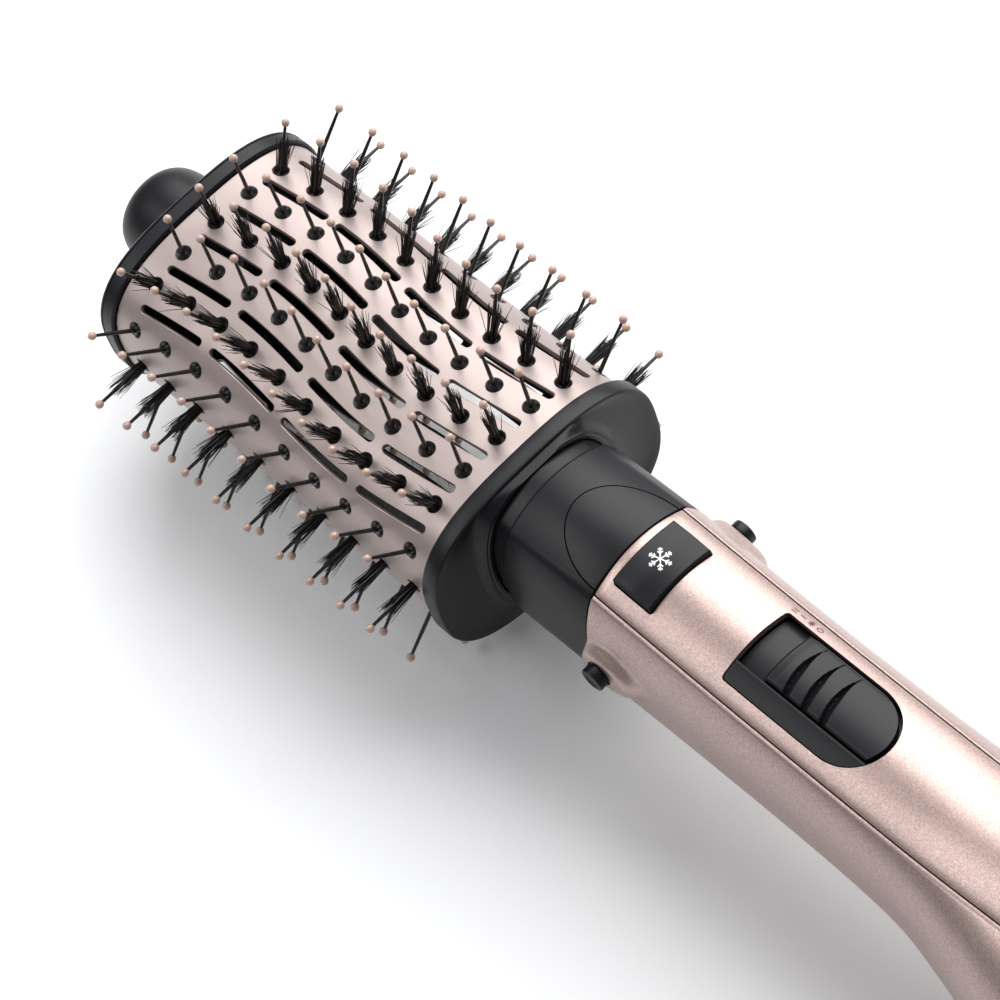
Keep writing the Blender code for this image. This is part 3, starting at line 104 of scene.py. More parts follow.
def shaderGroup(name, inputs):
    tree = bpy.data.node_groups.new(name, "ShaderNodeTree")
    for label, value in inputs.items():
        kind = "NodeSocketColor" if isinstance(value, tuple) else "NodeSocketFloat"
        item = tree.interface.new_socket(label, in_out="INPUT", socket_type=kind)
        item.default_value = value
    for label, kind in (("Colour", "Color"), ("Roughness", "Float"), ("Height", "Float")):
        tree.interface.new_socket(label, in_out="OUTPUT", socket_type="NodeSocket" + kind)
    return tree, tree.nodes.new("NodeGroupInput").outputs, tree.nodes.new("NodeGroupOutput").inputs


def endGroup(tree, given, out, gain, roughness, height):
    colour = addVector(tree, "SCALE", given["Colour"], Scale=gain)
    for label, result in (("Colour", colour), ("Roughness", roughness), ("Height", height)):
        tree.links.new(result, out[label])
    return tree


def makeGrainGroup():       # a fine moulded or sprayed grain, as colour, roughness and height
    tree, given, out = shaderGroup("fineGrain", {
        "Colour": (0.5, 0.5, 0.5, 1), "Size": 0.3, "Tint": 0.1, "Roughness": 0.4, "Spread": 0.05,
        "Cloud": 0.05, "Cloud Scale": 45.0})
    where = addNode(tree, "ShaderNodeTexCoord").outputs["Object"]
    scale = addMath(tree, "DIVIDE", 1 / mm, given["Size"])
    fine = addNode(tree, "ShaderNodeTexNoise", {"Vector": where, "Scale": scale, "Detail": 2.0,
                                                "Roughness": 0.6}).outputs[0]
    broad = addNode(tree, "ShaderNodeTexNoise", {"Vector": where, "Scale": given["Cloud Scale"],
                                                 "Detail": 3.0}).outputs[0]
    lift = addMath(tree, "SUBTRACT", fine, 0.5)
    tint = addMath(tree, "MULTIPLY", lift, given["Tint"])
    cloud = addMath(tree, "MULTIPLY_ADD", addMath(tree, "SUBTRACT", broad, 0.5), given["Cloud"], tint)
    roughness = addMath(tree, "MULTIPLY_ADD", lift, given["Spread"], given["Roughness"])
    return endGroup(tree, given, out, addMath(tree, "ADD", cloud, 1.0), roughness, fine)


def makeFlakeGroup():       # metal flakes in paint: cells that each tip their own way
    tree, given, out = shaderGroup("paintFlakes", {
        "Colour": (0.5, 0.5, 0.5, 1), "Size": 0.2, "Sparkle": 0.2, "Roughness": 0.35, "Spread": 0.12})
    where = addNode(tree, "ShaderNodeTexCoord").outputs["Object"]
    scale = addMath(tree, "DIVIDE", 1 / mm, given["Size"])
    cells = addNode(tree, "ShaderNodeTexVoronoi", {"Vector": where, "Scale": scale})
    each = addNode(tree, "ShaderNodeSeparateColor", {0: cells.outputs["Color"]}).outputs
    gain = addMath(tree, "MULTIPLY_ADD", addMath(tree, "SUBTRACT", each[0], 0.5), given["Sparkle"], 1.0)
    roughness = addMath(tree, "MULTIPLY_ADD", each[1], given["Spread"], given["Roughness"])
    return endGroup(tree, given, out, gain, roughness, each[2])


# Size is the grain's, and bump and depth its relief's, in mm; the capitalised rest are sockets
grainFinishes = {
    "roseMetal": {"Colour": (0.405, 0.333, 0.313, 1), "Size": 0.22, "Tint": 0.06, "Roughness": 0.43,
                  "Spread": 0.08, "Cloud": 0.06, "bump": 0.10, "depth": 0.02, "Metallic": 0.6},
    "charcoal": {"Colour": (0.005, 0.0052, 0.0068, 1), "Size": 0.35, "Tint": 0.35, "Roughness": 0.40,
                 "Spread": 0.12, "Cloud": 0.25, "bump": 0.35, "depth": 0.02,
                 "Specular IOR Level": 0.29},
    "nylon": {"Colour": (0.012, 0.011, 0.011, 1), "Size": 0.5, "Tint": 0.3, "Roughness": 0.26,
              "Spread": 0.1, "Cloud": 0.2, "bump": 0.2, "depth": 0.01},
    "hair": {"Colour": (0.010, 0.009, 0.009, 1), "Size": 0.6, "Tint": 0.5, "Roughness": 0.34,
             "Spread": 0.2, "Cloud": 0.3, "bump": 0.1, "depth": 0.01},
    "drops": {"Colour": (0.50, 0.34, 0.27, 1), "Size": 0.8, "Tint": 0.16, "Roughness": 0.28,
              "Spread": 0.1, "Cloud": 0.3, "bump": 0.15, "depth": 0.02, "Coat Weight": 0.4,
              "Coat Roughness": 0.12},
    "whiteMark": {"Colour": (0.86, 0.87, 0.88, 1), "Size": 0.3, "Tint": 0.05, "Roughness": 0.5,
                  "Spread": 0.05, "Cloud": 0.02, "bump": 0.1, "depth": 0.01},
    "brownMark": {"Colour": (0.09, 0.04, 0.036, 1), "Size": 0.3, "Tint": 0.2, "Roughness": 0.5,
                  "Spread": 0.05, "Cloud": 0.1, "bump": 0.1, "depth": 0.01},
    "steel": {"Colour": (0.60, 0.60, 0.62, 1), "Size": 0.4, "Tint": 0.15, "Roughness": 0.30,
              "Spread": 0.15, "Cloud": 0.1, "bump": 0.2, "depth": 0.02, "Metallic": 1.0},
    "mica": {"Colour": (0.52, 0.44, 0.31, 1), "Size": 0.9, "Tint": 0.5, "Roughness": 0.5,
             "Spread": 0.3, "Cloud": 0.5, "bump": 0.3, "depth": 0.05},
    "heaterWire": {"Colour": (0.34, 0.28, 0.26, 1), "Size": 0.4, "Tint": 0.3, "Roughness": 0.42,
                   "Spread": 0.2, "Cloud": 0.4, "bump": 0.3, "depth": 0.02, "Metallic": 1.0},
    "board": {"Colour": (0.02, 0.19, 0.08, 1), "Size": 1.2, "Tint": 0.3, "Roughness": 0.38,
              "Spread": 0.1, "Cloud": 0.3, "bump": 0.3, "depth": 0.03},
    "greyPlastic": {"Colour": (0.30, 0.31, 0.33, 1), "Size": 0.35, "Tint": 0.12, "Roughness": 0.46,
                    "Spread": 0.1, "Cloud": 0.1, "bump": 0.35, "depth": 0.02},
    "gauze": {"Colour": (0.05, 0.05, 0.055, 1), "Size": 0.7, "Tint": 0.9, "Roughness": 0.75,
              "Spread": 0.2, "Cloud": 0.2, "bump": 0.9, "depth": 0.15},
}
flakeFinishes = {
    "rosePaint": {"Colour": (0.44, 0.325, 0.295, 1), "Size": 0.22, "Sparkle": 0.40, "Roughness": 0.33,
                  "Spread": 0.12, "bump": 0.22, "depth": 0.03, "Metallic": 0.75, "Coat Weight": 0.25,
                  "Coat Roughness": 0.22},
}


def makeFinish(name, group, values):
    finish = bpy.data.materials.new(name)
    finish.use_nodes = True
    tree = finish.node_tree
    surface = tree.nodes["Principled BSDF"]
    effect = addNode(tree, "ShaderNodeGroup", node_tree=group)
    for label, value in values.items():
        if label in effect.inputs:
            effect.inputs[label].default_value = value
        elif label in surface.inputs:
            surface.inputs[label].default_value = value
    relief = addNode(tree, "ShaderNodeBump", {"Strength": values["bump"],
                                              "Distance": values["depth"] * mm,
                                              "Height": effect.outputs["Height"]})
    tree.links.new(effect.outputs["Colour"], surface.inputs["Base Color"])
    tree.links.new(effect.outputs["Roughness"], surface.inputs["Roughness"])
    tree.links.new(relief.outputs["Normal"], surface.inputs["Normal"])
    return finish


finishes = {}
for finishGroup, wanted in ((makeGrainGroup(), grainFinishes), (makeFlakeGroup(), flakeFinishes)):
    finishes.update({name: makeFinish(name, finishGroup, values) for name, values in wanted.items()})
print("finishes made")


# meshes

def placed(name, data):
    piece = bpy.data.objects.new(name, data)
    bpy.context.collection.objects.link(piece)
    return piece


def turns(count, sweep=2 * math.pi, start=0.0):     # equal turns from start, without the last
    return [start + sweep * i / count for i in range(count)]


def softly(mesh, angle):        # smooth shading, but for edges sharper than the angle
    mesh.shade_smooth()
    mesh.set_sharp_from_angle(angle=math.radians(angle))


def makePiece(name, points, faces, finish, angle=32):
    mesh = bpy.data.meshes.new(name)
    mesh.from_pydata([inFrame(point) for point in points], [], faces)
    work = bmesh.new()
    work.from_mesh(mesh)
    bmesh.ops.recalc_face_normals(work, faces=work.faces)
    work.to_mesh(mesh)
    work.free()
    mesh.materials.append(finishes[finish])
    softly(mesh, angle)
    return placed(name, mesh)


def loft(name, rings, finish, wrap=False, angle=32):
    count, last = len(rings[0]), len(rings) - 1
    points = [point for ring in rings for point in ring]
    pairs = [(i, i + 1) for i in range(last)] + ([(last, 0)] if wrap else [])
    faces = [(i * count + k, i * count + (k + 1) % count, j * count + (k + 1) % count, j * count + k)
             for i, j in pairs for k in range(count)]
    if not wrap:
        faces += [tuple(range(count)), tuple(last * count + k for k in range(count))]
    return makePiece(name, points, faces, finish, angle)


def turned(name, profile, finish, axis="x", base=(0, 0, 0), count=48, wrap=False):
    rings = []
    for along, radius in profile:
        ring = []
        for turn in turns(count):
            u, v = radius * math.cos(turn), radius * math.sin(turn)
            offset = {"x": (along, u, v), "y": (v, along, u), "z": (u, v, along)}[axis]
            ring.append(Vector(base) + Vector(offset))
        rings.append(ring)
    return loft(name, rings, finish, wrap)


def bake(piece):
    graph = bpy.context.evaluated_depsgraph_get()
    mesh = bpy.data.meshes.new_from_object(piece.evaluated_get(graph), depsgraph=graph)
    piece.modifiers.clear()
    piece.data = mesh
    return piece


def shapeWith(piece, tool, operation="DIFFERENCE", angle=32):
    step = piece.modifiers.new("shape", "BOOLEAN")
    step.solver = "EXACT"
    step.operation = operation
    step.object = tool
    bake(piece)
    bpy.data.objects.remove(tool)
    softly(piece.data, angle)
    return piece


def joined(name, pieces, angle=32):
    work = bmesh.new()
    for piece in pieces:
        work.from_mesh(piece.data)
    mesh = bpy.data.meshes.new(name)
    work.to_mesh(mesh)
    work.free()
    mesh.materials.append(pieces[0].data.materials[0])
    for piece in pieces:
        bpy.data.objects.remove(piece)
    mesh.set_sharp_from_angle(angle=math.radians(angle))
    return placed(name, mesh)


def finishPiece(piece, body, slot, *nodes):
    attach(piece, body)
    if nodes:
        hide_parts(*nodes)


# geometry node trees

def newTree(name, inputs):
    tree = bpy.data.node_groups.new(name, "GeometryNodeTree")
    tree.interface.new_socket("Geometry", in_out="INPUT", socket_type="NodeSocketGeometry")
    for label, (kind, value) in inputs.items():
        item = tree.interface.new_socket(label, in_out="INPUT", socket_type="NodeSocket" + kind)
        if value is not None:
            item.default_value = value
    tree.interface.new_socket("Geometry", in_out="OUTPUT", socket_type="NodeSocketGeometry")
    return tree, tree.nodes.new("NodeGroupInput").outputs, tree.nodes.new("NodeGroupOutput")


def endTree(tree, given, out, shape):
    real = addNode(tree, "GeometryNodeRealizeInstances", {"Geometry": shape})
    dressed = addNode(tree, "GeometryNodeSetMaterial", {"Geometry": real.outputs[0],
                                                        "Material": given["Material"]})
    tree.links.new(dressed.outputs[0], out.inputs[0])
    return tree


def shapeOf(tree, source):
    return addNode(tree, "GeometryNodeObjectInfo", {"Object": source}).outputs["Geometry"]


def directionOf(tree):      # the way that each point carries
    return addNode(tree, "GeometryNodeInputNamedAttribute", {"Name": "direction"},
                   data_type="FLOAT_VECTOR").outputs[0]


def movedBy(tree, shape, **where):
    return addNode(tree, "GeometryNodeSetPosition", {"Geometry": shape, **where}).outputs[0]


def turnTo(tree, way):
    return addNode(tree, "FunctionNodeAlignRotationToVector", {"Vector": way}, axis="Z").outputs[0]


def makeWrapTree():     # a flat sheet (along, round, height) is laid round a closed section
    tree, given, out = newTree("wrapRoundSection", {"Section": ("Object", None),
                                                    "Material": ("Material", None)})
    place = addNode(tree, "GeometryNodeInputPosition").outputs[0]
    flat = addNode(tree, "ShaderNodeSeparateXYZ", {0: place}).outputs
    spot = addNode(tree, "GeometryNodeSampleCurve", {"Curves": shapeOf(tree, given["Section"]),
                                                     "Length": flat[1]},
                   mode="LENGTH", use_all_curves=True).outputs
    outward = addVector(tree, "CROSS_PRODUCT", (1, 0, 0), spot["Tangent"])
    along = addNode(tree, "ShaderNodeCombineXYZ", {0: flat[0]}).outputs[0]
    foot = addVector(tree, "ADD", spot["Position"], along)
    whole = addVector(tree, "ADD", foot, addVector(tree, "SCALE", outward, Scale=flat[2]))
    return endTree(tree, given, out, movedBy(tree, given["Geometry"], Position=whole))


def makeStandTree():    # a small piece stands at every point, along the point's direction
    tree, given, out = newTree("standOnPoints", {"Piece": ("Object", None), "Lift": ("Float", 0.0),
                                                 "Material": ("Material", None)})
    way = directionOf(tree)
    lifted = movedBy(tree, given["Geometry"], Offset=addVector(tree, "SCALE", way, Scale=given["Lift"]))
    stood = addNode(tree, "GeometryNodeInstanceOnPoints",
                    {"Points": lifted, "Instance": shapeOf(tree, given["Piece"]),
                     "Rotation": turnTo(tree, way)})
    return endTree(tree, given, out, stood.outputs[0])


def makeTuftTree():     # a bundle of hairs at every point, spread in a disc and flared
    tree, given, out = newTree("tuftsOnPoints", {
        "Hair": ("Object", None), "Hairs": ("Int", 20), "Radius": ("Float", 0.001),
        "Flare": ("Float", 0.1), "Stray": ("Float", 0.1), "Rarity": ("Float", 9.0),
        "Shortest": ("Float", 0.8), "Seed": ("Int", 1), "Material": ("Material", None)})

    def drawn(low, high, step):
        seed = addMath(tree, "ADD", given["Seed"], float(step))
        return addNode(tree, "FunctionNodeRandomValue", {2: low, 3: high, "Seed": seed},
                       data_type="FLOAT").outputs[1]

    points = addNode(tree, "GeometryNodeMeshToPoints", {"Mesh": given["Geometry"]}).outputs[0]
    many = addNode(tree, "GeometryNodeDuplicateElements", {"Geometry": points, "Amount": given["Hairs"]},
                   domain="POINT").outputs["Geometry"]
    way = directionOf(tree)
    angle = drawn(0.0, 2 * math.pi, 1)
    sideways = addVector(tree, "SCALE", addVector(tree, "CROSS_PRODUCT", way, (1, 0, 0)),
                         Scale=addMath(tree, "COSINE", angle))
    forwards = addNode(tree, "ShaderNodeCombineXYZ", {0: addMath(tree, "SINE", angle)}).outputs[0]
    outward = addVector(tree, "ADD", sideways, forwards)
    share = addMath(tree, "SQRT", drawn(0.12, 1.0, 2))      # even over the disc, but for its middle
    reach = addMath(tree, "MULTIPLY", share, given["Radius"])
    spread = movedBy(tree, many, Offset=addVector(tree, "SCALE", outward, Scale=reach))
    odd = addMath(tree, "POWER", drawn(0.0, 1.0, 3), given["Rarity"])
    strayed = addMath(tree, "MULTIPLY_ADD", odd, given["Stray"], given["Flare"])
    flare = addMath(tree, "MULTIPLY", strayed, share)
    leant = addVector(tree, "ADD", way, addVector(tree, "SCALE", outward, Scale=flare))
    twist = addNode(tree, "FunctionNodeAxisAngleToRotation",
                    {"Axis": (0, 0, 1), "Angle": drawn(0.0, 2 * math.pi, 4)}).outputs[0]
    turn = addNode(tree, "FunctionNodeRotateRotation", {0: turnTo(tree, leant), 1: twist},
                   rotation_space="LOCAL").outputs[0]
    least = addMath(tree, "SUBTRACT", 1.0, given["Shortest"])
    longer = addMath(tree, "MULTIPLY_ADD", drawn(0.0, 1.0, 5), least, given["Shortest"])
    size = addNode(tree, "ShaderNodeCombineXYZ", {0: 1.0, 1: 1.0, 2: longer}).outputs[0]
    stood = addNode(tree, "GeometryNodeInstanceOnPoints",
                    {"Points": spread, "Instance": shapeOf(tree, given["Hair"]), "Rotation": turn,
                     "Scale": size})
    return endTree(tree, given, out, stood.outputs[0])


def runTree(piece, tree, values, angle=40):
    step = piece.modifiers.new(tree.name, "NODES")
    step.node_group = tree
    for item in tree.interface.items_tree:
        if item.item_type == "SOCKET" and item.in_out == "INPUT" and item.name in values:
            step[item.identifier] = values[item.name]
    bake(piece)
    softly(piece.data, angle)
    return piece


wrapTree = makeWrapTree()
standTree = makeStandTree()
tuftTree = makeTuftTree()
print("node trees made")


# barrel

barrelValues = {
    "squareness": 2.84,         # of the oval section
    "wall": 1.3,
    "rowShares": (0.0, 0.2325, 0.449, 0.721, 1.0),     # row places in a quarter turn
    "pinsPerRow": 10,
    "pinPitch": 10.3,
    "waveHeight": 1.8,
    "waveLength": 86.7,
    "holeRadius": 1.95,
    "slotHalfWidth": 1.05,
    "slotBridge": 1.5,
    "lip": 0.14,                # rounding of every edge of the perforation
    "gridAlong": 3.4,           # the sheet's mesh between the openings
    "gridRound": 1.4,
    "gridClearance": 0.45,
    "slotSteps": 8,
    "endMargin": 0.3,           # how far the end slots start past the end pins
    "endReach": 0.17,           # and how far they may go, as a share of the pitch
    "angle": 34,
}
barrelEnd = boxOf("brush_barrel")[1].x
halfWidth, halfHeight = boxOf("brush_barrel")[1].y, boxOf("brush_barrel")[1].z
quarterRows = len(barrelValues["rowShares"]) - 1
rowCount = 4 * quarterRows
stations = [barrelValues["pinPitch"] * (i - (barrelValues["pinsPerRow"] - 1) / 2)
            for i in range(barrelValues["pinsPerRow"])]


def ovalPoint(turn, wide, high, power):
    s, c = math.sin(turn), math.cos(turn)
    return Vector((wide * math.copysign(abs(s) ** (2 / power), s),
                   high * math.copysign(abs(c) ** (2 / power), c)))


def makeArcTable(steps=2880):
    table, length = [], 0.0
    for i in range(steps + 1):
        point = ovalPoint(2 * math.pi * i / steps, halfWidth, halfHeight, barrelValues["squareness"])
        if table:
            length += (point - table[-1][1]).length
        table.append((length, point))
    return table


arcTable = makeArcTable()
perimeter = arcTable[-1][0]


def onOval(arc):        # place and outward normal (y, z) at a length round the section from its top
    arc %= perimeter
    low, high = 0, len(arcTable) - 1
    while high - low > 1:
        middle = (low + high) // 2
        if arcTable[middle][0] <= arc:
            low = middle
        else:
            high = middle
    (start, a), (end, b) = arcTable[low], arcTable[high]
    place = a.lerp(b, (arc - start) / (end - start))
    power = barrelValues["squareness"]
    slope = Vector([math.copysign(abs(v / half) ** (power - 1) / half, v)
                    for v, half in ((place.x, halfWidth), (place.y, halfHeight))])
    return place, slope.normalized()


def ovalRing(x, out=0.0, count=128):
    ring = []
    for i in range(count):
        place, normal = onOval(perimeter * i / count)
        ring.append(Vector((x, place.x + normal.x * out, place.y + normal.y * out)))
    return ring


def rowArc(row, x):
    shares = barrelValues["rowShares"]
    quarter, steps = divmod(row % rowCount, quarterRows)
    mirrored = quarter % 2 == 1
    if mirrored:
        steps = quarterRows - steps
    low = min(int(steps), quarterRows - 1)
    share = blend(shares[low], shares[low + 1], steps - low)
    if mirrored:
        share = 1 - share
    swing = -barrelValues["waveHeight"] * math.sin(2 * math.pi * x / barrelValues["waveLength"])
    return perimeter * (quarter + share) / 4 + swing


def slotSpans():
    radius, bridge = barrelValues["slotHalfWidth"], barrelValues["slotBridge"]
    furthest = stations[-1] + barrelValues["pinPitch"] * barrelValues["endReach"]
    margin = barrelValues["endMargin"]
    edges = [stations[0] - margin, stations[2], (stations[4] + stations[5]) / 2, stations[7],
             stations[-1] + margin]
    spans = []
    for i, (a, b) in enumerate(zip(edges, edges[1:])):
        start = a if i == 0 else a + bridge
        end = b + bridge if i == len(edges) - 2 else b - bridge
        spans.append((start + radius, min(end, furthest) - radius))
    return spans


def slotRows():         # between all rows but those at the two sides
    half = rowCount // 2
    return [i + 0.5 for i in range(rowCount) if abs((i + 0.5) % half - half / 2) > 0.6]


def makeHoles():        # every opening as (centre line points, radius) in the flat sheet
    holes = []
    for row in range(rowCount):
        for x in stations:
            holes.append(([Vector((x, rowArc(row, x)))], barrelValues["holeRadius"]))
    for row in slotRows():
        for start, end in slotSpans():
            xs = spread(start, end, count=barrelValues["slotSteps"])
            holes.append(([Vector((x, rowArc(row, x))) for x in xs], barrelValues["slotHalfWidth"]))
    return holes


def outline(line, radius):      # a round hole, or a slot with round ends
    if len(line) == 1:
        return [line[0] + Vector((math.cos(a), math.sin(a))) * radius for a in turns(20)]
    sides = []
    for i in range(len(line)):
        along = (line[min(i + 1, len(line) - 1)] - line[max(i - 1, 0)]).normalized()
        sides.append(Vector((-along.y, along.x)))
    first, last = ([centre + Matrix.Rotation(-turn, 2) @ start * radius for turn in turns(8, math.pi)
                    + [math.pi]] for centre, start in ((line[0], -sides[0]), (line[-1], sides[-1])))
    top = [p + s * radius for p, s in zip(line[1:-1], sides[1:-1])]
    low = [p - s * radius for p, s in zip(line[1:-1], sides[1:-1])]
    return first + top + last + low[::-1]


def makeSheet():        # the flat sheet's points, triangles and openings, the seam between two rows
    values = barrelValues
    seam = perimeter / 4 * blend(values["rowShares"][3], 1.0, 0.5)
    holes = []
    for line, radius in makeHoles():
        middle = line[len(line) // 2]
        shift = Vector((0, (middle.y - seam) % perimeter + seam - middle.y))
        holes.append(([p + shift for p in line], radius))
    columns = spread(-barrelEnd, barrelEnd, values["gridAlong"])
    count = round(perimeter / values["gridRound"])
    rowsOf = [seam + perimeter * i / count for i in range(count + 1)]
    points, edges, loops = [], [], []
    border = ([Vector((x, rowsOf[0])) for x in columns] + [Vector((columns[-1], y)) for y in rowsOf[1:]]
              + [Vector((x, rowsOf[-1])) for x in columns[-2::-1]]
              + [Vector((columns[0], y)) for y in rowsOf[-2:0:-1]])

    def addLoop(ring):
        first = len(points)
        points.extend(ring)
        edges.extend((first + i, first + (i + 1) % len(ring)) for i in range(len(ring)))
        loops.append(list(range(first, first + len(ring))))

    addLoop(border)
    for line, radius in holes:
        addLoop(outline(line, radius + values["lip"]))

    def near(point, line):      # quick tests, before the true distance is worked out
        return line[0].x - 3 < point.x < line[-1].x + 3 and abs(line[len(line) // 2].y - point.y) < 6

    def clearance(point, line, radius):
        reach = (point - line[0]).length
        for a, b in zip(line, line[1:]):
            t = min(max((point - a).dot(b - a) / (b - a).length_squared, 0), 1)
            reach = min(reach, (point - a.lerp(b, t)).length)
        return reach - radius - values["lip"]

    for point in (Vector((x, y)) for x in columns[1:-1] for y in rowsOf[1:-1]):
        if not any(near(point, line) and clearance(point, line, radius) <= values["gridClearance"]
                   for line, radius in holes):
            points.append(point)
    flat, _, triangles, origins, _, _ = geometry.delaunay_2d_cdt(points, edges, [], 0, 1e-6)
    placeOf = {old: new for new, olds in enumerate(origins) for old in olds}
    kept = []
    for triangle in triangles:
        centre = sum((flat[i] for i in triangle), Vector((0, 0))) / 3
        if not any(near(centre, line) and clearance(centre, line, radius) < -0.001
                   for line, radius in holes):
            kept.append(tuple(triangle))
    return flat, kept, [[placeOf[i] for i in loop] for loop in loops], holes


def makeBarrel():
    flat, triangles, loops, holes = makeSheet()
    wall, lip = barrelValues["wall"], barrelValues["lip"]
    points = [(p.x, p.y, 0.0) for p in flat] + [(p.x, p.y, -wall) for p in flat]
    size = len(flat)
    faces = triangles + [tuple(i + size for i in reversed(t)) for t in triangles]
    border = loops[0]
    for a, b in zip(border, border[1:] + border[:1]):
        if abs(abs(flat[a].x) - barrelEnd) < 1e-3 and abs(abs(flat[b].x) - barrelEnd) < 1e-3:
            faces.append((a, b, b + size, a + size))
    for loop, (line, radius) in zip(loops[1:], holes):
        ring = outline(line, radius)
        first = len(points)
        points += [(p.x, p.y, -lip) for p in ring] + [(p.x, p.y, -wall + lip) for p in ring]
        count = len(ring)
        levels = [loop, [first + i for i in range(count)], [first + count + i for i in range(count)],
                  [i + size for i in loop]]
        for upper, lower in zip(levels, levels[1:]):
            for i in range(count):
                j = (i + 1) % count
                faces.append((upper[i], upper[j], lower[j], lower[i]))
    mesh = bpy.data.meshes.new("perforatedBarrel")
    mesh.from_pydata([(axisX + x * mm, (y % perimeter) * mm, z * mm) for x, y, z in points], [], faces)
    barrel = placed("perforatedBarrel", mesh)
    curve = bpy.data.curves.new("sectionPath", "CURVE")
    curve.dimensions = "3D"
    path = curve.splines.new("POLY")
    path.points.add(len(arcTable) - 2)
    for point, (_, place) in zip(path.points, arcTable):
        point.co = (0, place.x * mm, axisZ + place.y * mm, 1)
    path.use_cyclic_u = True
    section = placed("sectionPath", curve)
    runTree(barrel, wrapTree, {"Section": section, "Material": finishes["roseMetal"]})
    bpy.data.objects.remove(section)
    work = bmesh.new()
    work.from_mesh(barrel.data)
    bmesh.ops.remove_doubles(work, verts=work.verts, dist=0.002 * mm)
    bmesh.ops.recalc_face_normals(work, faces=work.faces)
    work.to_mesh(barrel.data)
    work.free()
    # the second finish, charcoal, is painted shade on the barrel's inside
    barrel.data.materials.append(finishes["charcoal"])
    for face in barrel.data.polygons:       # the inside wall is painted charcoal, as painted shade inside the barrel
        spot = onAxis(face.center)
        reach = Vector((0, spot.y / halfWidth ** 2, spot.z / halfHeight ** 2)).normalized()
        if face.normal.dot(reach) < -0.5:
            face.material_index = 1
    softly(barrel.data, barrelValues["angle"])
    return barrel


finishPiece(makeBarrel(), "brush_head", "rose_metal", "brush_barrel")
print("barrel made")


# bristles

bristleValues = {
    "leans": (0, 0, 25, 46, 90),        # degrees from vertical, from the top row to the side row
    "reach": 13.6,                      # to the middle of a pin's drop
    "stemRadius": 0.5,
    "dropRadius": 1.0,
    "hairs": 64,
    "hairLength": 9.6,
    "hairRadius": 0.1,
    "tuftRadius": 1.15,
    "flare": 0.055,
    "stray": 0.35,
    "rarity": 9.0,                      # how seldom a hair strays far
    "seed": 11,
    "bend": 0.35,
    "jitter": 0.018,
    "shortest": 0.74,
    "barHalfWidth": 2.9,
    "barThickness": 1.6,
    "barBevel": 0.25,
    "barClearance": 0.7,
    "barEnd": 2.4,                      # short of the barrel's end
}


def rowWay(row):
    half = rowCount // 2
    folded = row % rowCount
    fromTop = min(folded, rowCount - folded)
    steps = min(fromTop, half - fromTop)
    lean = math.radians(bristleValues["leans"][steps])
    side = 1 if folded <= half else -1
    return Vector((0, side * math.sin(lean), math.cos(lean) * (1 if fromTop <= half / 2 else -1)))


def stationPoints(name, rows, way, jitter=0.0):     # points that carry a direction
    source = random.Random(7)
    spots, ways = [], []
    for row in rows:
        for x in stations:
            place, normal = onOval(rowArc(row, x))
            spots.append(inFrame((x, place.x, place.y)))
            aim = rowWay(row) if way == "lean" else Vector((0, normal.x, normal.y))
            aim = aim + Vector([source.uniform(-jitter, jitter) for _ in range(3)])
            ways.append(aim.normalized())
    mesh = bpy.data.meshes.new(name)
    mesh.from_pydata(spots, [], [])
    held = mesh.attributes.new("direction", "FLOAT_VECTOR", "POINT")
    held.data.foreach_set("vector", [value for aim in ways for value in aim])
    return placed(name, mesh)


def smallPiece(name, profile, count):       # a turned shape at the origin, closed at both ends
    rings = [[Vector((r * math.cos(a), r * math.sin(a), z)) for a in turns(count)] for z, r in profile]
    work = bmesh.new()
    rows = [[work.verts.new(point * mm) for point in ring] for ring in rings]
    for a, b in zip(rows, rows[1:]):
        for i in range(count):
            work.faces.new((a[i], a[(i + 1) % count], b[(i + 1) % count], b[i]))
    work.faces.new(rows[0])
    work.faces.new(rows[-1])
    bmesh.ops.recalc_face_normals(work, faces=work.faces)
    mesh = bpy.data.meshes.new(name)
    work.to_mesh(mesh)
    work.free()
    return placed(name, mesh)


def makeStanding(name, rows, way, profile, count, finish, lift=0.0, jitter=0.0):
    source = smallPiece(name + "Source", profile, count)
    field = runTree(stationPoints(name, rows, way, jitter), standTree,
                    {"Piece": source, "Lift": lift * mm, "Material": finishes[finish]})
    bpy.data.objects.remove(source)
    return field


def makeBars():         # the bars that carry the pins, under the wall
    values = bristleValues
    bars = []
    end, bevel = barrelEnd - values["barEnd"], values["barBevel"]
    for row in range(rowCount):
        rings = []
        for x in spread(-end, end, count=32):
            place, normal = onOval(rowArc(row, x))
            out = Vector((0, normal.x, normal.y))
            side = Vector((1, 0, 0)).cross(out)
            top = Vector((x, place.x, place.y)) - out * (barrelValues["wall"] + values["barClearance"])
            low = top - out * values["barThickness"]
            half = side * values["barHalfWidth"]
            rings.append([top + half * (1 - bevel / 2), top - half * (1 - bevel / 2),
                          top - half - out * bevel, low - half + out * bevel,
                          low - half * (1 - bevel / 2), low + half * (1 - bevel / 2),
                          low + half + out * bevel, top + half - out * bevel])
        bars.append(loft(f"bar{row}", rings, "nylon"))
    return joined("bristleBars", bars)


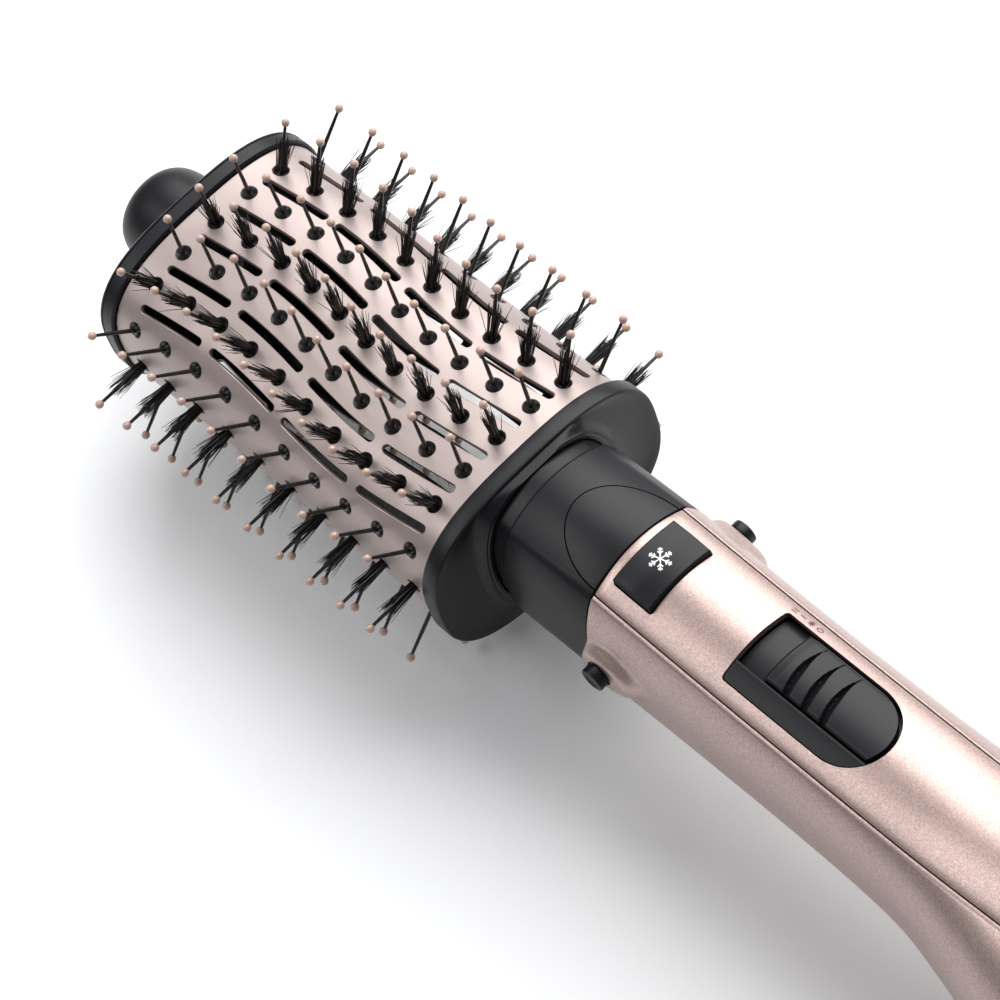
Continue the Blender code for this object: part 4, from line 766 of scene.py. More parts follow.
def makeBristles():
    values = bristleValues
    allRows = range(rowCount)
    strips = [f"bristle_strip_{row + 1:02d}" for row in allRows]
    finishPiece(makeBars(), "brush_head", "nylon", *strips)
    depth = barrelValues["wall"] + values["barClearance"]
    hole = barrelValues["holeRadius"] - 0.02
    cup = [(-depth, hole * 0.9), (-0.5, hole * 0.93), (-0.32, hole * 0.93), (-0.5, hole * 0.8),
           (-0.95, hole * 0.62), (-0.75, hole * 0.5), (-0.2, hole * 0.38), (0.05, hole * 0.2)]
    finishPiece(makeStanding("pinCups", allRows, "normal", cup, 16, "nylon"), "brush_head", "nylon")
    r = values["stemRadius"]
    stem = [(-1.4, r * 1.15), (1.5, r * 1.05), (values["reach"] * 0.6, r * 0.92),
            (values["reach"], r * 0.72)]
    stems = makeStanding("pinStems", allRows, "lean", stem, 8, "nylon", jitter=values["jitter"])
    finishPiece(stems, "brush_head", "nylon")
    r = values["dropRadius"]
    drop = [(-r * math.cos(t) * (1.12 if t < math.pi / 2 else 1.0), max(r * math.sin(t), 0.04))
            for t in spread(0.0, math.pi, count=8)]
    drops = makeStanding("pinDrops", allRows, "lean", drop, 12, "drops", lift=values["reach"],
                         jitter=values["jitter"])
    finishPiece(drops, "brush_head", "pin_tips")
    length, r = values["hairLength"], values["hairRadius"]
    hair = smallPiece("hairSource", [(-0.6, r * 1.1), (length * 0.55, r), (length, r * 0.55)], 3)
    for vertex in hair.data.vertices:
        vertex.co.x += values["bend"] * mm * max(vertex.co.z / (length * mm), 0) ** 2
    tufts = runTree(stationPoints("bristleTufts", [row for row in allRows if row % 2 == 0], "lean"),
                    tuftTree, {"Hair": hair, "Hairs": values["hairs"],
                               "Radius": values["tuftRadius"] * mm, "Flare": values["flare"],
                               "Stray": values["stray"], "Shortest": values["shortest"],
                               "Rarity": values["rarity"], "Seed": values["seed"],
                               "Material": finishes["hair"]})
    bpy.data.objects.remove(hair)
    finishPiece(tufts, "brush_head", "nylon")


makeBristles()
print("bristles made")


# barrel ends and neck

neckValues = {
    "capOverhang": 1.1,
    "knobRadius": 12.8,
    "knobBluntness": 5.0,
    "knobBoss": 6.0,
    "screwBore": 1.8,
    "flangeOverhang": 2.0,
    "flangeDepth": 4.4,
    "flangeHollow": 0.7,
    "collarFlare": 3.1,
    "neckHalfWidth": 19.2,
    "edgeHalfWidth": 14.2,
    "edgeHeight": 20.4,
    "rise": 1.5,
    "crown": 4.5,
    "bottom": -19.0,
    "wall": 2.0,
    "bandLength": 6.0,
    "bandDepth": 1.4,
    "tongueLength": 17.5,
    "tongueHalfWidth": 12.8,
    "notchHeights": (7.0, 32.0),        # of the tool that cuts round the tongue
    "sidePower": 2.4,
}
gap = 0.3
flangeX = boxOf("rear_flange")[0].x + neckValues["flangeDepth"]
neckFront, neckEnd = boxOf("neck_sleeve")[0].x, boxOf("neck_sleeve")[1].x
handleX, handleEnd = boxOf("handle_lower_shell")[0].x, boxOf("handle_lower_shell")[1].x


def sideCurve(halfWidth, corner, middle, bottom, upper=16, lower=20):
    power = neckValues["sidePower"]
    share = (1 - (corner[0] / halfWidth) ** power) ** (1 / power)
    rise = (corner[1] - middle) / share
    turn = math.acos((corner[0] / halfWidth) ** (power / 2))
    points = []
    for i in range(upper + 1):
        a = turn * (1 - i / upper)
        points.append(Vector((halfWidth * math.cos(a) ** (2 / power),
                              middle + rise * math.sin(a) ** (2 / power))))
    for i in range(1, lower + 1):
        a = math.pi / 2 * i / lower
        points.append(Vector((halfWidth * max(math.cos(a), 0.0) ** (2 / power),
                              middle - (middle - bottom) * math.sin(a) ** (2 / power))))
    points[-1] = Vector((0.0, bottom))
    return points


def deckCurve(half, edge, crown, steps=28):
    return [Vector((half * s, edge + crown * (1 - s * s))) for s in spread(-1, 1, count=steps)]


def bodySection(x, halfWidth, edgeHalf, edge, crown, middle, bottom):
    right = sideCurve(halfWidth, (edgeHalf, edge), middle, bottom)
    left = [Vector((-p.x, p.y)) for p in right[-2:0:-1]]
    return [Vector((x, p.x, p.y)) for p in deckCurve(edgeHalf, edge, crown) + right[1:] + left]


def neckSection(x, inset=0.0):
    values = neckValues
    edge = values["edgeHeight"] - values["rise"] * (neckEnd - x) / (neckEnd - neckFront)
    return bodySection(x, values["neckHalfWidth"] - inset, values["edgeHalfWidth"] - inset * 0.8,
                       edge - inset * 0.8, values["crown"] - inset * 0.2, 0.0,
                       values["bottom"] + inset)


def atX(ring, x):
    return [Vector((x, p.y, p.z)) for p in ring]


def circleLike(ring, centre, radius):       # a circle whose points face the ring's
    ways = [Vector((0, p.y, p.z - centre)).normalized() * radius for p in ring]
    return [Vector((p.x, way.y, centre + way.z)) for p, way in zip(ring, ways)]


def rayHit(ring, turn):         # how far a section reaches at an angle round the axis
    way = Vector((math.cos(turn), math.sin(turn)))
    best = 0.0
    for a, b in zip(ring, ring[1:] + ring[:1]):
        start, edge = Vector((a.y, a.z)), Vector((b.y - a.y, b.z - a.z))
        cross = way.x * edge.y - way.y * edge.x
        if abs(cross) > 1e-9:
            reach = (start.x * edge.y - start.y * edge.x) / cross
            share = (start.x * way.y - start.y * way.x) / cross
            if reach > best and -1e-6 <= share <= 1 + 1e-6:
                best = reach
    return best


def makeCap():
    rear, front = -barrelEnd - gap, boxOf("front_cap")[0].x
    over = neckValues["capOverhang"]
    profile = [(rear, over - 0.5), (rear - 0.4, over), (front + 1.9, over), (front + 1.75, over - 0.18),
               (front + 1.45, over - 0.18), (front + 1.3, over), (front + 0.85, over - 0.08),
               (front + 0.4, over - 0.5), (front + 0.12, over - 1.1), (front, over - 2.2)]
    rings = [ovalRing(x, out) for x, out in profile]
    inside, inset = front + 1.8, -1.6
    rings.append(circleLike(rings[-1], 0, neckValues["knobBoss"] + gap))
    rings += [atX(rings[-1], inside), ovalRing(inside, inset), ovalRing(rear, inset)]
    finishPiece(loft("frontCap", rings, "charcoal", wrap=True), "brush_head", "black_plastic",
                "front_cap")


def makeKnob():
    low, high = boxOf("nose_knob")
    base = boxOf("front_cap")[0].x - gap
    depth, radius = base - low.x, neckValues["knobRadius"]
    power = neckValues["knobBluntness"]
    bore = neckValues["screwBore"]
    profile = [(base - depth * 0.5, bore), (high.x, bore), (high.x, neckValues["knobBoss"]),
               (base, neckValues["knobBoss"]), (base, radius - 0.5), (base - 0.15, radius - 0.15)]
    for i in range(1, 25):
        share = 0.02 + 0.98 * math.sin(math.pi / 2 * i / 24)
        profile.append((base - depth * share, radius * max((1 - share ** power), 1e-6) ** (1 / power)))
    profile[-1] = (low.x, 0.4)
    finishPiece(turned("noseKnob", profile, "charcoal", count=96), "brush_head", "black_plastic",
                "nose_knob")


def makeFlange():
    values = neckValues
    front, end = boxOf("rear_flange")[0].x, boxOf("rear_flange")[1].x
    neck = neckSection(flangeX, values["bandDepth"] - gap)
    reaches = []
    for p in ovalRing(flangeX, values["flangeOverhang"], 160):
        turn = math.atan2(p.z, p.y)
        bore = rayHit(neck, turn)
        rim = max(math.hypot(p.y, p.z), bore + 0.95)
        reaches.append((turn, rim, bore))

    def ring(x, place):
        return [Vector((x, place(rim, bore) * math.cos(turn), place(rim, bore) * math.sin(turn)))
                for turn, rim, bore in reaches]

    def back(share):        # across the hollowed back, from the rim to the foot of the collar
        def place(rim, bore):
            foot = min(bore + values["collarFlare"], rim - 0.75)
            return blend(rim - 0.62, foot, share)
        return place

    def collar(out):
        return lambda rim, bore: bore + min(out, rim - 0.8 - bore)

    rings = [ring(front, lambda rim, bore: rim - 0.35), ring(front + 0.1, lambda rim, bore: rim - 0.1),
             ring(front + 0.35, lambda rim, bore: rim), ring(flangeX - 0.6, lambda rim, bore: rim),
             ring(flangeX - 0.25, lambda rim, bore: rim - 0.1),
             ring(flangeX - 0.03, lambda rim, bore: rim - 0.32)]
    for share in (0.0, 0.12, 0.3, 0.5, 0.7, 0.88, 1.0):
        rings.append(ring(flangeX - values["flangeHollow"] * math.sin(math.pi * share) ** 0.7
                          * (1 if share < 1 else 0), back(share)))
    rise = end - flangeX
    for share, out in ((0.35, 2.3), (0.62, 1.75), (0.8, 1.55), (0.86, 1.5), (0.88, 1.15), (0.94, 1.08),
                       (0.985, 0.95), (1.0, 0.7), (1.0, 0.12), (0.94, 0.0)):
        rings.append(ring(flangeX + rise * share, collar(out)))
    rings.append(ring(flangeX, collar(0.0)))
    inner = neckSection(flangeX, values["bandDepth"] + values["wall"] + 2 * gap)
    holes = [rayHit(inner, turn) for turn, _, _ in reaches]
    for x in (flangeX, front):
        rings.append([Vector((x, reach * math.cos(turn), reach * math.sin(turn)))
                      for reach, (turn, _, _) in zip(holes, reaches)])
    finishPiece(loft("rearFlange", rings, "charcoal", wrap=True), "brush_head", "black_plastic",
                "rear_flange")


def tongueOutline(inset, over):
    length = neckValues["tongueLength"] - inset
    half = neckValues["tongueHalfWidth"] - inset
    points = [(neckEnd - length * math.cos(a), half * math.sin(a))
              for a in spread(-math.pi / 2, math.pi / 2, count=48)]
    return [(neckEnd + over, -half)] + points + [(neckEnd + over, half)]


def upright(name, outline, low, high):
    return loft(name, [[Vector((x, y, z)) for x, y in outline] for z in (low, high)], "charcoal")


def neckWall(name, places):
    return loft(name, [neckSection(x, inset) for x, inset in places], "charcoal", wrap=True)


def makeNeck():
    values = neckValues
    wall, depth = values["wall"], values["bandDepth"]
    bandEnd = neckFront + values["bandLength"]
    lip = [(neckEnd - 0.25, 0.0), (neckEnd - 0.05, 0.08), (neckEnd, 0.3), (neckEnd, wall)]
    neck = neckWall("neckSleeve", [
        (neckFront, depth), (bandEnd, depth), (bandEnd + 0.12, depth - 0.5), (bandEnd + 0.4, 0.22),
        (bandEnd + 0.7, 0.05), (bandEnd + 1.1, 0.0), *lip, (bandEnd + wall, wall),
        (bandEnd, depth + wall), (neckFront, depth + wall)])
    shapeWith(neck, upright("notch", tongueOutline(0.0, 5.0), *values["notchHeights"]))
    finishPiece(neck, "brush_head", "black_plastic", "neck_sleeve")
    low = boxOf("locating_tongue")[0].x - 2
    tongue = neckWall("locatingTongue", [(low, 0.0), *lip, (low, wall)])
    shapeWith(tongue, upright("tongueShape", tongueOutline(gap, 2.0), *values["notchHeights"]),
              "INTERSECT")
    finishPiece(tongue, "handle", "black_plastic", "locating_tongue")


makeCap()
makeKnob()
makeFlange()
makeNeck()
print("neck made")


# handle

handleValues = {
    # share of the length, half width, deck edge, middle and bottom heights
    "stations": ((0.000, 19.4, 20.60, -0.2, -20.5), (0.100, 19.1, 18.80, -1.2, -20.2),
                 (0.216, 19.0, 17.20, -2.2, -20.0), (0.330, 19.1, 16.10, -2.7, -20.0),
                 (0.443, 19.6, 15.25, -3.4, -20.4), (0.517, 20.6, 15.00, -4.5, -21.6),
                 (0.590, 23.4, 15.60, -5.8, -25.0), (0.680, 27.4, 16.80, -7.0, -30.0),
                 (0.790, 30.4, 17.40, -8.0, -34.6), (0.890, 31.0, 16.00, -8.0, -35.6),
                 (1.000, 28.6, 11.80, -8.0, -34.0)),
    "deckHalfWidth": 13.5,
    "deckCrown": 4.3,
    "deckThickness": 1.8,
    "ledgeWidth": 2.0,
    "deckEase": 0.35,
    "deckAngle": 38,
    "cutHeights": (0.0, 40.0),          # of the tools that open the deck
    "recessNose": 1.15,                 # length of its round end to its half width
    "recessCorner": 0.7,
    "buttonCorner": 0.5,
    "lipWidth": 0.75,
    "shellWall": 2.2,
    "pegRadius": 3.0,
    "pegHeight": 3.5,
    "bossRadius": 5.4,
    "bossProud": 2.3,
    "bossStretch": (1.15, 1.75),        # ahead of the peg and behind it
    "screwRadius": 1.4,
    "tailAxis": -8.0,
    "glandRadius": 6.0,
    "glandRibs": 5,
    "cordBore": 3.2,
    "coverWall": 2.0,
    "inletSlots": 12,
    "inletInner": 9.5,
    "inletOuter": 16.3,
    "inletHalfWidth": 1.3,
    "loopRadius": 8.0,
    "loopWire": 1.5,
}
pegX = handleX + 5.0
pegTip = boxOf("release_peg_right")[1].y
recessLow, recessHigh = boxOf("switch_bezel")
recessX, recessEnd = recessLow.x - gap, recessHigh.x + gap


def handleAt(x):        # half width, deck edge, middle and bottom, smoothly through the stations
    rows = handleValues["stations"]
    share = min(max((x - handleX) / (handleEnd - handleX), 0.0), 1.0)
    i = max(k for k in range(len(rows) - 1) if rows[k][0] <= share)
    span = rows[i + 1][0] - rows[i][0]
    t = (share - rows[i][0]) / span

    def slope(k, column):
        a, b = rows[max(k - 1, 0)], rows[min(k + 1, len(rows) - 1)]
        return (b[column] - a[column]) / (b[0] - a[0]) * span

    found = []
    for column in range(1, 5):
        a, b = rows[i][column], rows[i + 1][column]
        p, q = slope(i, column), slope(i + 1, column)
        found.append((2 * t ** 3 - 3 * t ** 2 + 1) * a + (t ** 3 - 2 * t ** 2 + t) * p
                     + (3 * t ** 2 - 2 * t ** 3) * b + (t ** 3 - t ** 2) * q)
    return found


def deckHeight(x, y):
    return handleAt(x)[1] + handleValues["deckCrown"] * (1 - (y / handleValues["deckHalfWidth"]) ** 2)


def recessOutline(inset):       # square ahead, round behind
    front, rear, half = recessX + inset, recessEnd - inset, -recessLow.y + gap - inset
    nose, corner = half * handleValues["recessNose"], handleValues["recessCorner"]
    points = [(front, -half + corner), (front + corner * 0.3, -half + corner * 0.3),
              (front + corner, -half)]
    for a in spread(-math.pi / 2, math.pi / 2, count=40):
        points.append((rear - nose + nose * math.cos(a), half * math.sin(a)))
    return points + [(front + corner, half), (front + corner * 0.3, half - corner * 0.3),
                     (front, half - corner)]


def makeDeck():
    values = handleValues
    half, ease, angle = values["deckHalfWidth"] - gap, values["deckEase"], values["deckAngle"]
    rings = []
    xs = [handleX, handleX + 0.1, handleX + 0.3] + spread(handleX + 2, handleEnd, 2.2)
    ys = ([-half, -half + 0.1, -half + 0.4] + spread(-half + 1.4, half - 1.4, 0.95)
          + [half - 0.4, half - 0.1, half])
    for i, x in enumerate(xs):
        inset = {0: 0.3, 1: 0.12}.get(i, 0.0)
        outer = []
        for k, y in enumerate(ys):
            drop = {0: ease, 1: ease * 0.35, 2: 0.04}.get(min(k, len(ys) - 1 - k), 0.0)
            outer.append((y, deckHeight(x, y) - drop - inset))
        inner = [(y, deckHeight(x, y) - values["deckThickness"]) for y, _ in outer[::-1]]
        rings.append([Vector((x, y, z)) for y, z in outer + inner])
    deck = loft("handleDeck", rings, "rosePaint", angle=angle)
    low, high = boxOf("cool_shot_button")
    start, end, side = low.x - gap, high.x + gap, high.y + gap
    c = values["buttonCorner"]
    opening = [(start, -side + c), (start + c, -side), (end - c, -side), (end, -side + c),
               (end, side - c), (end - c, side), (start + c, side), (start, side - c)]
    for name, edge in (("buttonOpening", opening), ("recessOpening", recessOutline(0.0))):
        shapeWith(deck, upright(name, edge, *values["cutHeights"]), angle=angle)
    finishPiece(deck, "handle", "rose_paint", "handle_top_shell")


def bossHeight(x, z):       # how far the side swells round the peg
    values = handleValues
    dx = (x - pegX) / values["bossStretch"][x > pegX]
    reach = math.hypot(dx, z - values["pegHeight"]) / values["bossRadius"]
    return values["bossProud"] * (1 - smooth(0.78, 1.32, reach))


def makeShell():
    values = handleValues
    half, ledge = values["deckHalfWidth"], values["ledgeWidth"]
    lip = values["lipWidth"]
    xs = ([handleX, handleX + 0.08, handleX + 0.25] + spread(handleX + 0.7, handleX + 17, 0.65)
          + spread(handleX + 19, handleEnd, 2.2))
    rings = []
    for i, x in enumerate(xs):
        halfWidth, edge, middle, bottom = handleAt(x)
        inset = {0: 0.25, 1: 0.08}.get(i, 0.0)
        slope = 2 * values["deckCrown"] / half
        corner = (half + lip, edge - slope * lip)
        outer = sideCurve(halfWidth - inset, corner, middle, bottom + inset, 26, 28)
        outer = [Vector((p.x + bossHeight(x, p.y) * smooth(8, 15, p.x), p.y)) for p in outer]
        bend = outer[0] + (outer[1] - outer[0]) * 0.3
        rim = [Vector((half, edge - 0.22)), Vector((half + 0.12, edge - 0.1 - slope * 0.1)),
               Vector((half + lip - 0.2, edge - slope * (lip - 0.2) - inset * 0.5)),
               Vector((half + lip - 0.03, edge - slope * lip - 0.04 - inset * 0.5)), bend]
        outer = rim + outer[1:]
        ledgeZ = edge - values["deckThickness"] - 2 * gap
        ledgeY = half - ledge
        inner = sideCurve(halfWidth - values["shellWall"], (ledgeY, ledgeZ), middle,
                          bottom + values["shellWall"], 10, 12)
        right = outer + [Vector((-p.x, p.y)) for p in outer[-2::-1]]
        left = [Vector((-p.x, p.y)) for p in inner] + inner[-2::-1]
        points = right + [Vector((-half, ledgeZ))] + left + [Vector((half, ledgeZ))]
        rings.append([Vector((x, p.x, p.y)) for p in points])
    shell = loft("handleShell", rings, "rosePaint", angle=40)
    for side in (-1, 1):
        bore = values["pegRadius"] + gap
        tool = turned("pegBore", [(side * 14.0, bore), (side * (pegTip + 2), bore)], "rosePaint", "y",
                      (pegX, 0, values["pegHeight"]), 40)
        shapeWith(shell, tool, angle=40)
    low, high = boxOf("case_screw")
    foot, wide, narrow = low.z - 0.2, values["screwRadius"] * 2 + gap, values["screwRadius"] + gap
    tool = turned("screwBore", [(foot - 2, wide), (foot + 1.2, wide), (foot + 1.2, narrow),
                                (foot + values["shellWall"] + 2, narrow)],
                  "rosePaint", "z", ((low.x + high.x) / 2, 0, 0), 32)
    shapeWith(shell, tool, angle=40)
    finishPiece(shell, "handle", "rose_paint", "handle_lower_shell")


def makePegs():
    values = handleValues
    for side, name in ((-1, "left"), (1, "right")):
        low, high = boxOf("release_peg_" + name)
        rest = low.y if side > 0 else -high.y
        r = values["pegRadius"]
        profile = [(rest, r + 1.1), (rest + 1, r + 1.1), (rest + 1, r), (pegTip - 2.6, r),
                   (pegTip - 2.5, r - 0.2), (pegTip - 2.1, r - 0.2), (pegTip - 2.0, r),
                   (pegTip - 0.5, r), (pegTip - 0.15, r - 0.12), (pegTip, r - 0.5),
                   (pegTip - 0.05, r - 1.0), (pegTip - 0.3, r - 1.3), (pegTip - 0.4, 0.3)]
        peg = turned("releasePeg" + name.capitalize(), [(side * y, radius) for y, radius in profile],
                     "charcoal", "y", (pegX, 0, values["pegHeight"]), 40)
        finishPiece(peg, "release_peg_" + name, "black_plastic", "release_peg_" + name)


makeDeck()
makeShell()
makePegs()
print("handle made")


# controls

controlValues = {
    "buttonProud": 1.5,
    "buttonEase": 0.35,
    "buttonFlatness": 0.7,
    "hollowHalfWidth": 5.5,
    "markWidth": 0.3,
    "flakeSize": 2.75,
    "trayDrop": 0.15,
    "trayFloor": 2.4,
    "stripWidth": 5.1,
    "trayDepth": 3.8,
    "stemTravel": 10.2,
    "sliderProud": 0.35,
    "ramp": 3.2,
    "grooves": 3,
    "grooveFirst": 5.4,
    "groovePitch": 5.1,
    "grooveDepth": 1.15,
    "grooveLength": 2.1,
    "grooveBow": 1.3,
    "panelMarkHeight": 1.5,
    "panelMarkWidth": 0.24,
    "panelMarkStep": 2.35,
    "inkLevels": (-0.05, 0.03),
}


def heightBlock(name, xs, ys, top, bottom, finish, angle=32):      # a block with a shaped upper face
    points, faces = [], []
    for x in xs:
        for y in ys:
            points.append(Vector((x, y, top(x, y))))
    size = len(points)
    for x in xs:
        for y in ys:
            points.append(Vector((x, y, bottom(x, y))))
    wide = len(ys)
    for i in range(len(xs) - 1):
        for k in range(wide - 1):
            a = i * wide + k
            faces.append((a, a + wide, a + wide + 1, a + 1))
            faces.append((size + a, size + a + 1, size + a + wide + 1, size + a + wide))
    border = ([i * wide for i in range(len(xs))] + [(len(xs) - 1) * wide + k for k in range(1, wide)]
              + [i * wide + wide - 1 for i in range(len(xs) - 2, -1, -1)]
              + [k for k in range(wide - 2, 0, -1)])
    for a, b in zip(border, border[1:] + border[:1]):
        faces.append((a, a + size, b + size, b))
    return makePiece(name, points, faces, finish, angle)


def strokeRing(width, points):          # a flat stroke outline, as a closed polygon
    left, right = [], []
    for i, p in enumerate(points):
        a, b = points[max(i - 1, 0)], points[min(i + 1, len(points) - 1)]
        way = (Vector(b) - Vector(a)).normalized()
        side = Vector((-way.y, way.x)) * width / 2
        left.append(Vector(p) + side)
        right.append(Vector(p) - side)
    return left + right[::-1]


def printedMark(name, strokes, width, height, finish):     # thin raised ink following a surface
    pieces = []
    for edge in (strokeRing(width, stroke) for stroke in strokes):
        rings = [[Vector((p.x, p.y, height(p.x, p.y) + level)) for p in edge]
                 for level in controlValues["inkLevels"]]
        pieces.append(loft(name + "Stroke", rings, finish))
    return joined(name, pieces)


def snowflake(centre, size, arms=6, barbs=True):
    strokes = []
    for turn in (2 * math.pi * i / arms + 0.26 for i in range(arms)):
        way = Vector((math.cos(turn), math.sin(turn)))
        side = Vector((-way.y, way.x))
        strokes.append([centre + way * size * t / 4 for t in range(5)])
        if barbs:
            for share, barb in ((0.46, 0.3), (0.74, 0.24)):
                foot = centre + way * size * share
                for hand in (-1, 1):
                    strokes.append([foot, foot + (way + side * hand).normalized() * size * barb])
    return strokes


def square(start, end, middle, half):
    return [(start, middle - half), (end, middle - half), (end, middle + half), (start, middle + half)]


def makeButton():
    values = controlValues
    low, high = boxOf("cool_shot_button")
    middle = (low.x + high.x) / 2
    ease = values["buttonEase"]

    def top(x, y):
        edge = min(x - low.x, high.x - x, high.y - abs(y))
        rounded = ease * (1 - math.sqrt(max(1 - (1 - min(edge / ease, 1)) ** 2, 0)))
        fall = 0.75 * smooth(0.0, 0.55, (high.x - x) / 10.8)
        lean = blend(-0.35, 0.0, min(fall, 1))
        front = -0.45 * (1 - smooth(0, 6.0, x - low.x))
        flat = values["buttonFlatness"] * (y / high.y) ** 2
        return deckHeight(x, y) + values["buttonProud"] - rounded + lean + front + flat

    def lines(a, b, step):
        inner = spread(a + ease, b - ease, step)
        return [a, a + 0.04, a + 0.14, a + 0.3] + inner + [b - 0.3, b - 0.14, b - 0.04, b]

    button = heightBlock("coolButton", lines(low.x, high.x, 0.7), lines(low.y, high.y, 0.7), top,
                         lambda x, y: low.z, "charcoal")
    side = values["hollowHalfWidth"]
    shapeWith(button, upright("buttonHollow", square(low.x + 1.2, high.x - 1.2, 0.0, side), low.z - 1,
                              deckHeight(high.x, side) - 1.3))
    finishPiece(button, "cool_shot_button", "black_plastic", "cool_shot_button")
    mark = printedMark("snowflakeMark", snowflake(Vector((middle - 0.3, 0.3)), values["flakeSize"]),
                       values["markWidth"], top, "whiteMark")
    finishPiece(mark, "cool_shot_button", "printed_marks")


def makeTray():
    values = controlValues
    half = -recessLow.y
    channel = -half - gap + values["stripWidth"]
    floor = values["trayFloor"]

    def top(x, y):
        wall = smooth(channel - 0.25, channel + 0.05, y)
        dip = 0.12 * (1 - smooth(0, 0.5, channel - 0.25 - y)) * (1 - wall)
        return deckHeight(x, y) - blend(values["trayDrop"] + dip, floor, wall)

    ys = (spread(-half - 0.6, channel - 0.8, 0.6) + [channel - 0.5, channel - 0.35, channel - 0.25,
          channel - 0.15, channel - 0.05, channel + 0.05] + spread(channel + 1, half + 0.6, 0.8))
    tray = heightBlock("switchTray", spread(recessX - 1, recessEnd + 1, 1.2), ys, top,
                       lambda x, y: deckHeight(x, y) - values["trayDepth"], "charcoal")
    shapeWith(tray, upright("trayShape", recessOutline(gap), *handleValues["cutHeights"]), "INTERSECT")
    low, high = boxOf("switch_slider")
    stemY = (channel + half + gap) / 2
    stem = (low.x + high.x) / 2
    slot = square(stem - values["stemTravel"], stem + 3.2, stemY, 2.4)
    shapeWith(tray, upright("stemSlot", slot, *handleValues["cutHeights"]))
    finishPiece(tray, "handle", "black_plastic", "switch_bezel")


def makeSlider():
    values = controlValues
    low, high = boxOf("switch_slider")
    half = -recessLow.y
    channel = -half - gap + values["stripWidth"] + gap
    side = high.y
    sliderX, sliderEnd = low.x, high.x

    def top(x, y):
        ramp = -0.55 * (1 - smooth(0.0, values["ramp"], x - sliderX))
        edge = min(y - channel, side - y, x - sliderX)
        fall = 0.3 * (1 - smooth(0, 0.45, edge))
        dip = 0.0
        across = (y - channel) / (side - channel)
        for i in range(values["grooves"]):
            start = sliderX + values["grooveFirst"] + values["groovePitch"] * i
            bow = values["grooveBow"] * math.sin(math.pi * min(max(across, 0), 1))
            reach = values["grooveLength"] * (1 - smooth(0.35, 0.96, across) * 0.92)
            t = (x - start + bow) / max(reach, 0.2)
            if 0 < t < 1:
                depth = values["grooveDepth"] * (1 - smooth(0.55, 1.0, across) * 0.85)
                dip = depth * (min(t / 0.16, 1.0) * (1 - smooth(0.16, 1.0, t)))
        return deckHeight(x, y) + values["sliderProud"] + ramp - fall - dip

    ys = [channel, channel + 0.12, channel + 0.28] + spread(channel + 0.5, side - 0.5, 0.45) \
        + [side - 0.28, side - 0.12, side]
    xs = [sliderX, sliderX + 0.12, sliderX + 0.28] + spread(sliderX + 0.5, sliderX + 21.5, 0.16) \
        + spread(sliderX + 22.2, sliderEnd + 0.5, 0.7)
    slider = heightBlock("switchSlider", xs, ys, top,
                         lambda x, y: deckHeight(x, y) - values["trayFloor"] + gap, "charcoal", 40)
    shapeWith(slider, upright("sliderShape", recessOutline(2 * gap + 0.4), *handleValues["cutHeights"]),
              "INTERSECT", angle=40)
    stemY = (channel - gap + half + gap) / 2
    stem = (low.x + high.x) / 2
    post = upright("sliderStem", square(stem - 2, stem + 2, stemY, 1.6), low.z, low.z + 5.6)
    shapeWith(slider, post, "UNION", angle=40)
    finishPiece(slider, "switch_slider", "black_plastic", "switch_slider")


def makePanelMarks():
    tall, step = controlValues["panelMarkHeight"], controlValues["panelMarkStep"]
    y = (-recessLow.y + gap + handleValues["deckHalfWidth"]) / 2 - 0.3
    first = recessX + 0.6

    def bar(x, shift=0.0):
        return [Vector((x - tall / 2, y + shift)), Vector((x, y + shift)), Vector((x + tall / 2, y + shift))]

    strokes = [bar(first, -0.35), bar(first, 0.35), bar(first + step)]
    strokes += snowflake(Vector((first + 2 * step, y)), tall * 0.52, 8, False)
    ring = [Vector((first + 3 * step + tall / 2 * math.cos(a), y + 0.42 * math.sin(a)))
            for a in spread(0.0, 2 * math.pi, count=16)]
    strokes += [[a, b] for a, b in zip(ring, ring[1:])]
    mark = printedMark("panelMarks", strokes, controlValues["panelMarkWidth"], deckHeight, "brownMark")
    finishPiece(mark, "handle", "printed_marks")


makeButton()
makeTray()
makeSlider()
makePanelMarks()
print("controls made")


# tail

def handleRing(x, inset=0.0, shrink=1.0):
    values = handleValues
    halfWidth, edge, middle, bottom = handleAt(x)
    ring = bodySection(x, halfWidth - inset, values["deckHalfWidth"] - inset * 0.8, edge - inset,
                       values["deckCrown"] - inset * 0.1, middle, bottom + inset)
    axis = values["tailAxis"]
    return [Vector((p.x, p.y * shrink, axis + (p.z - axis) * shrink)) for p in ring]


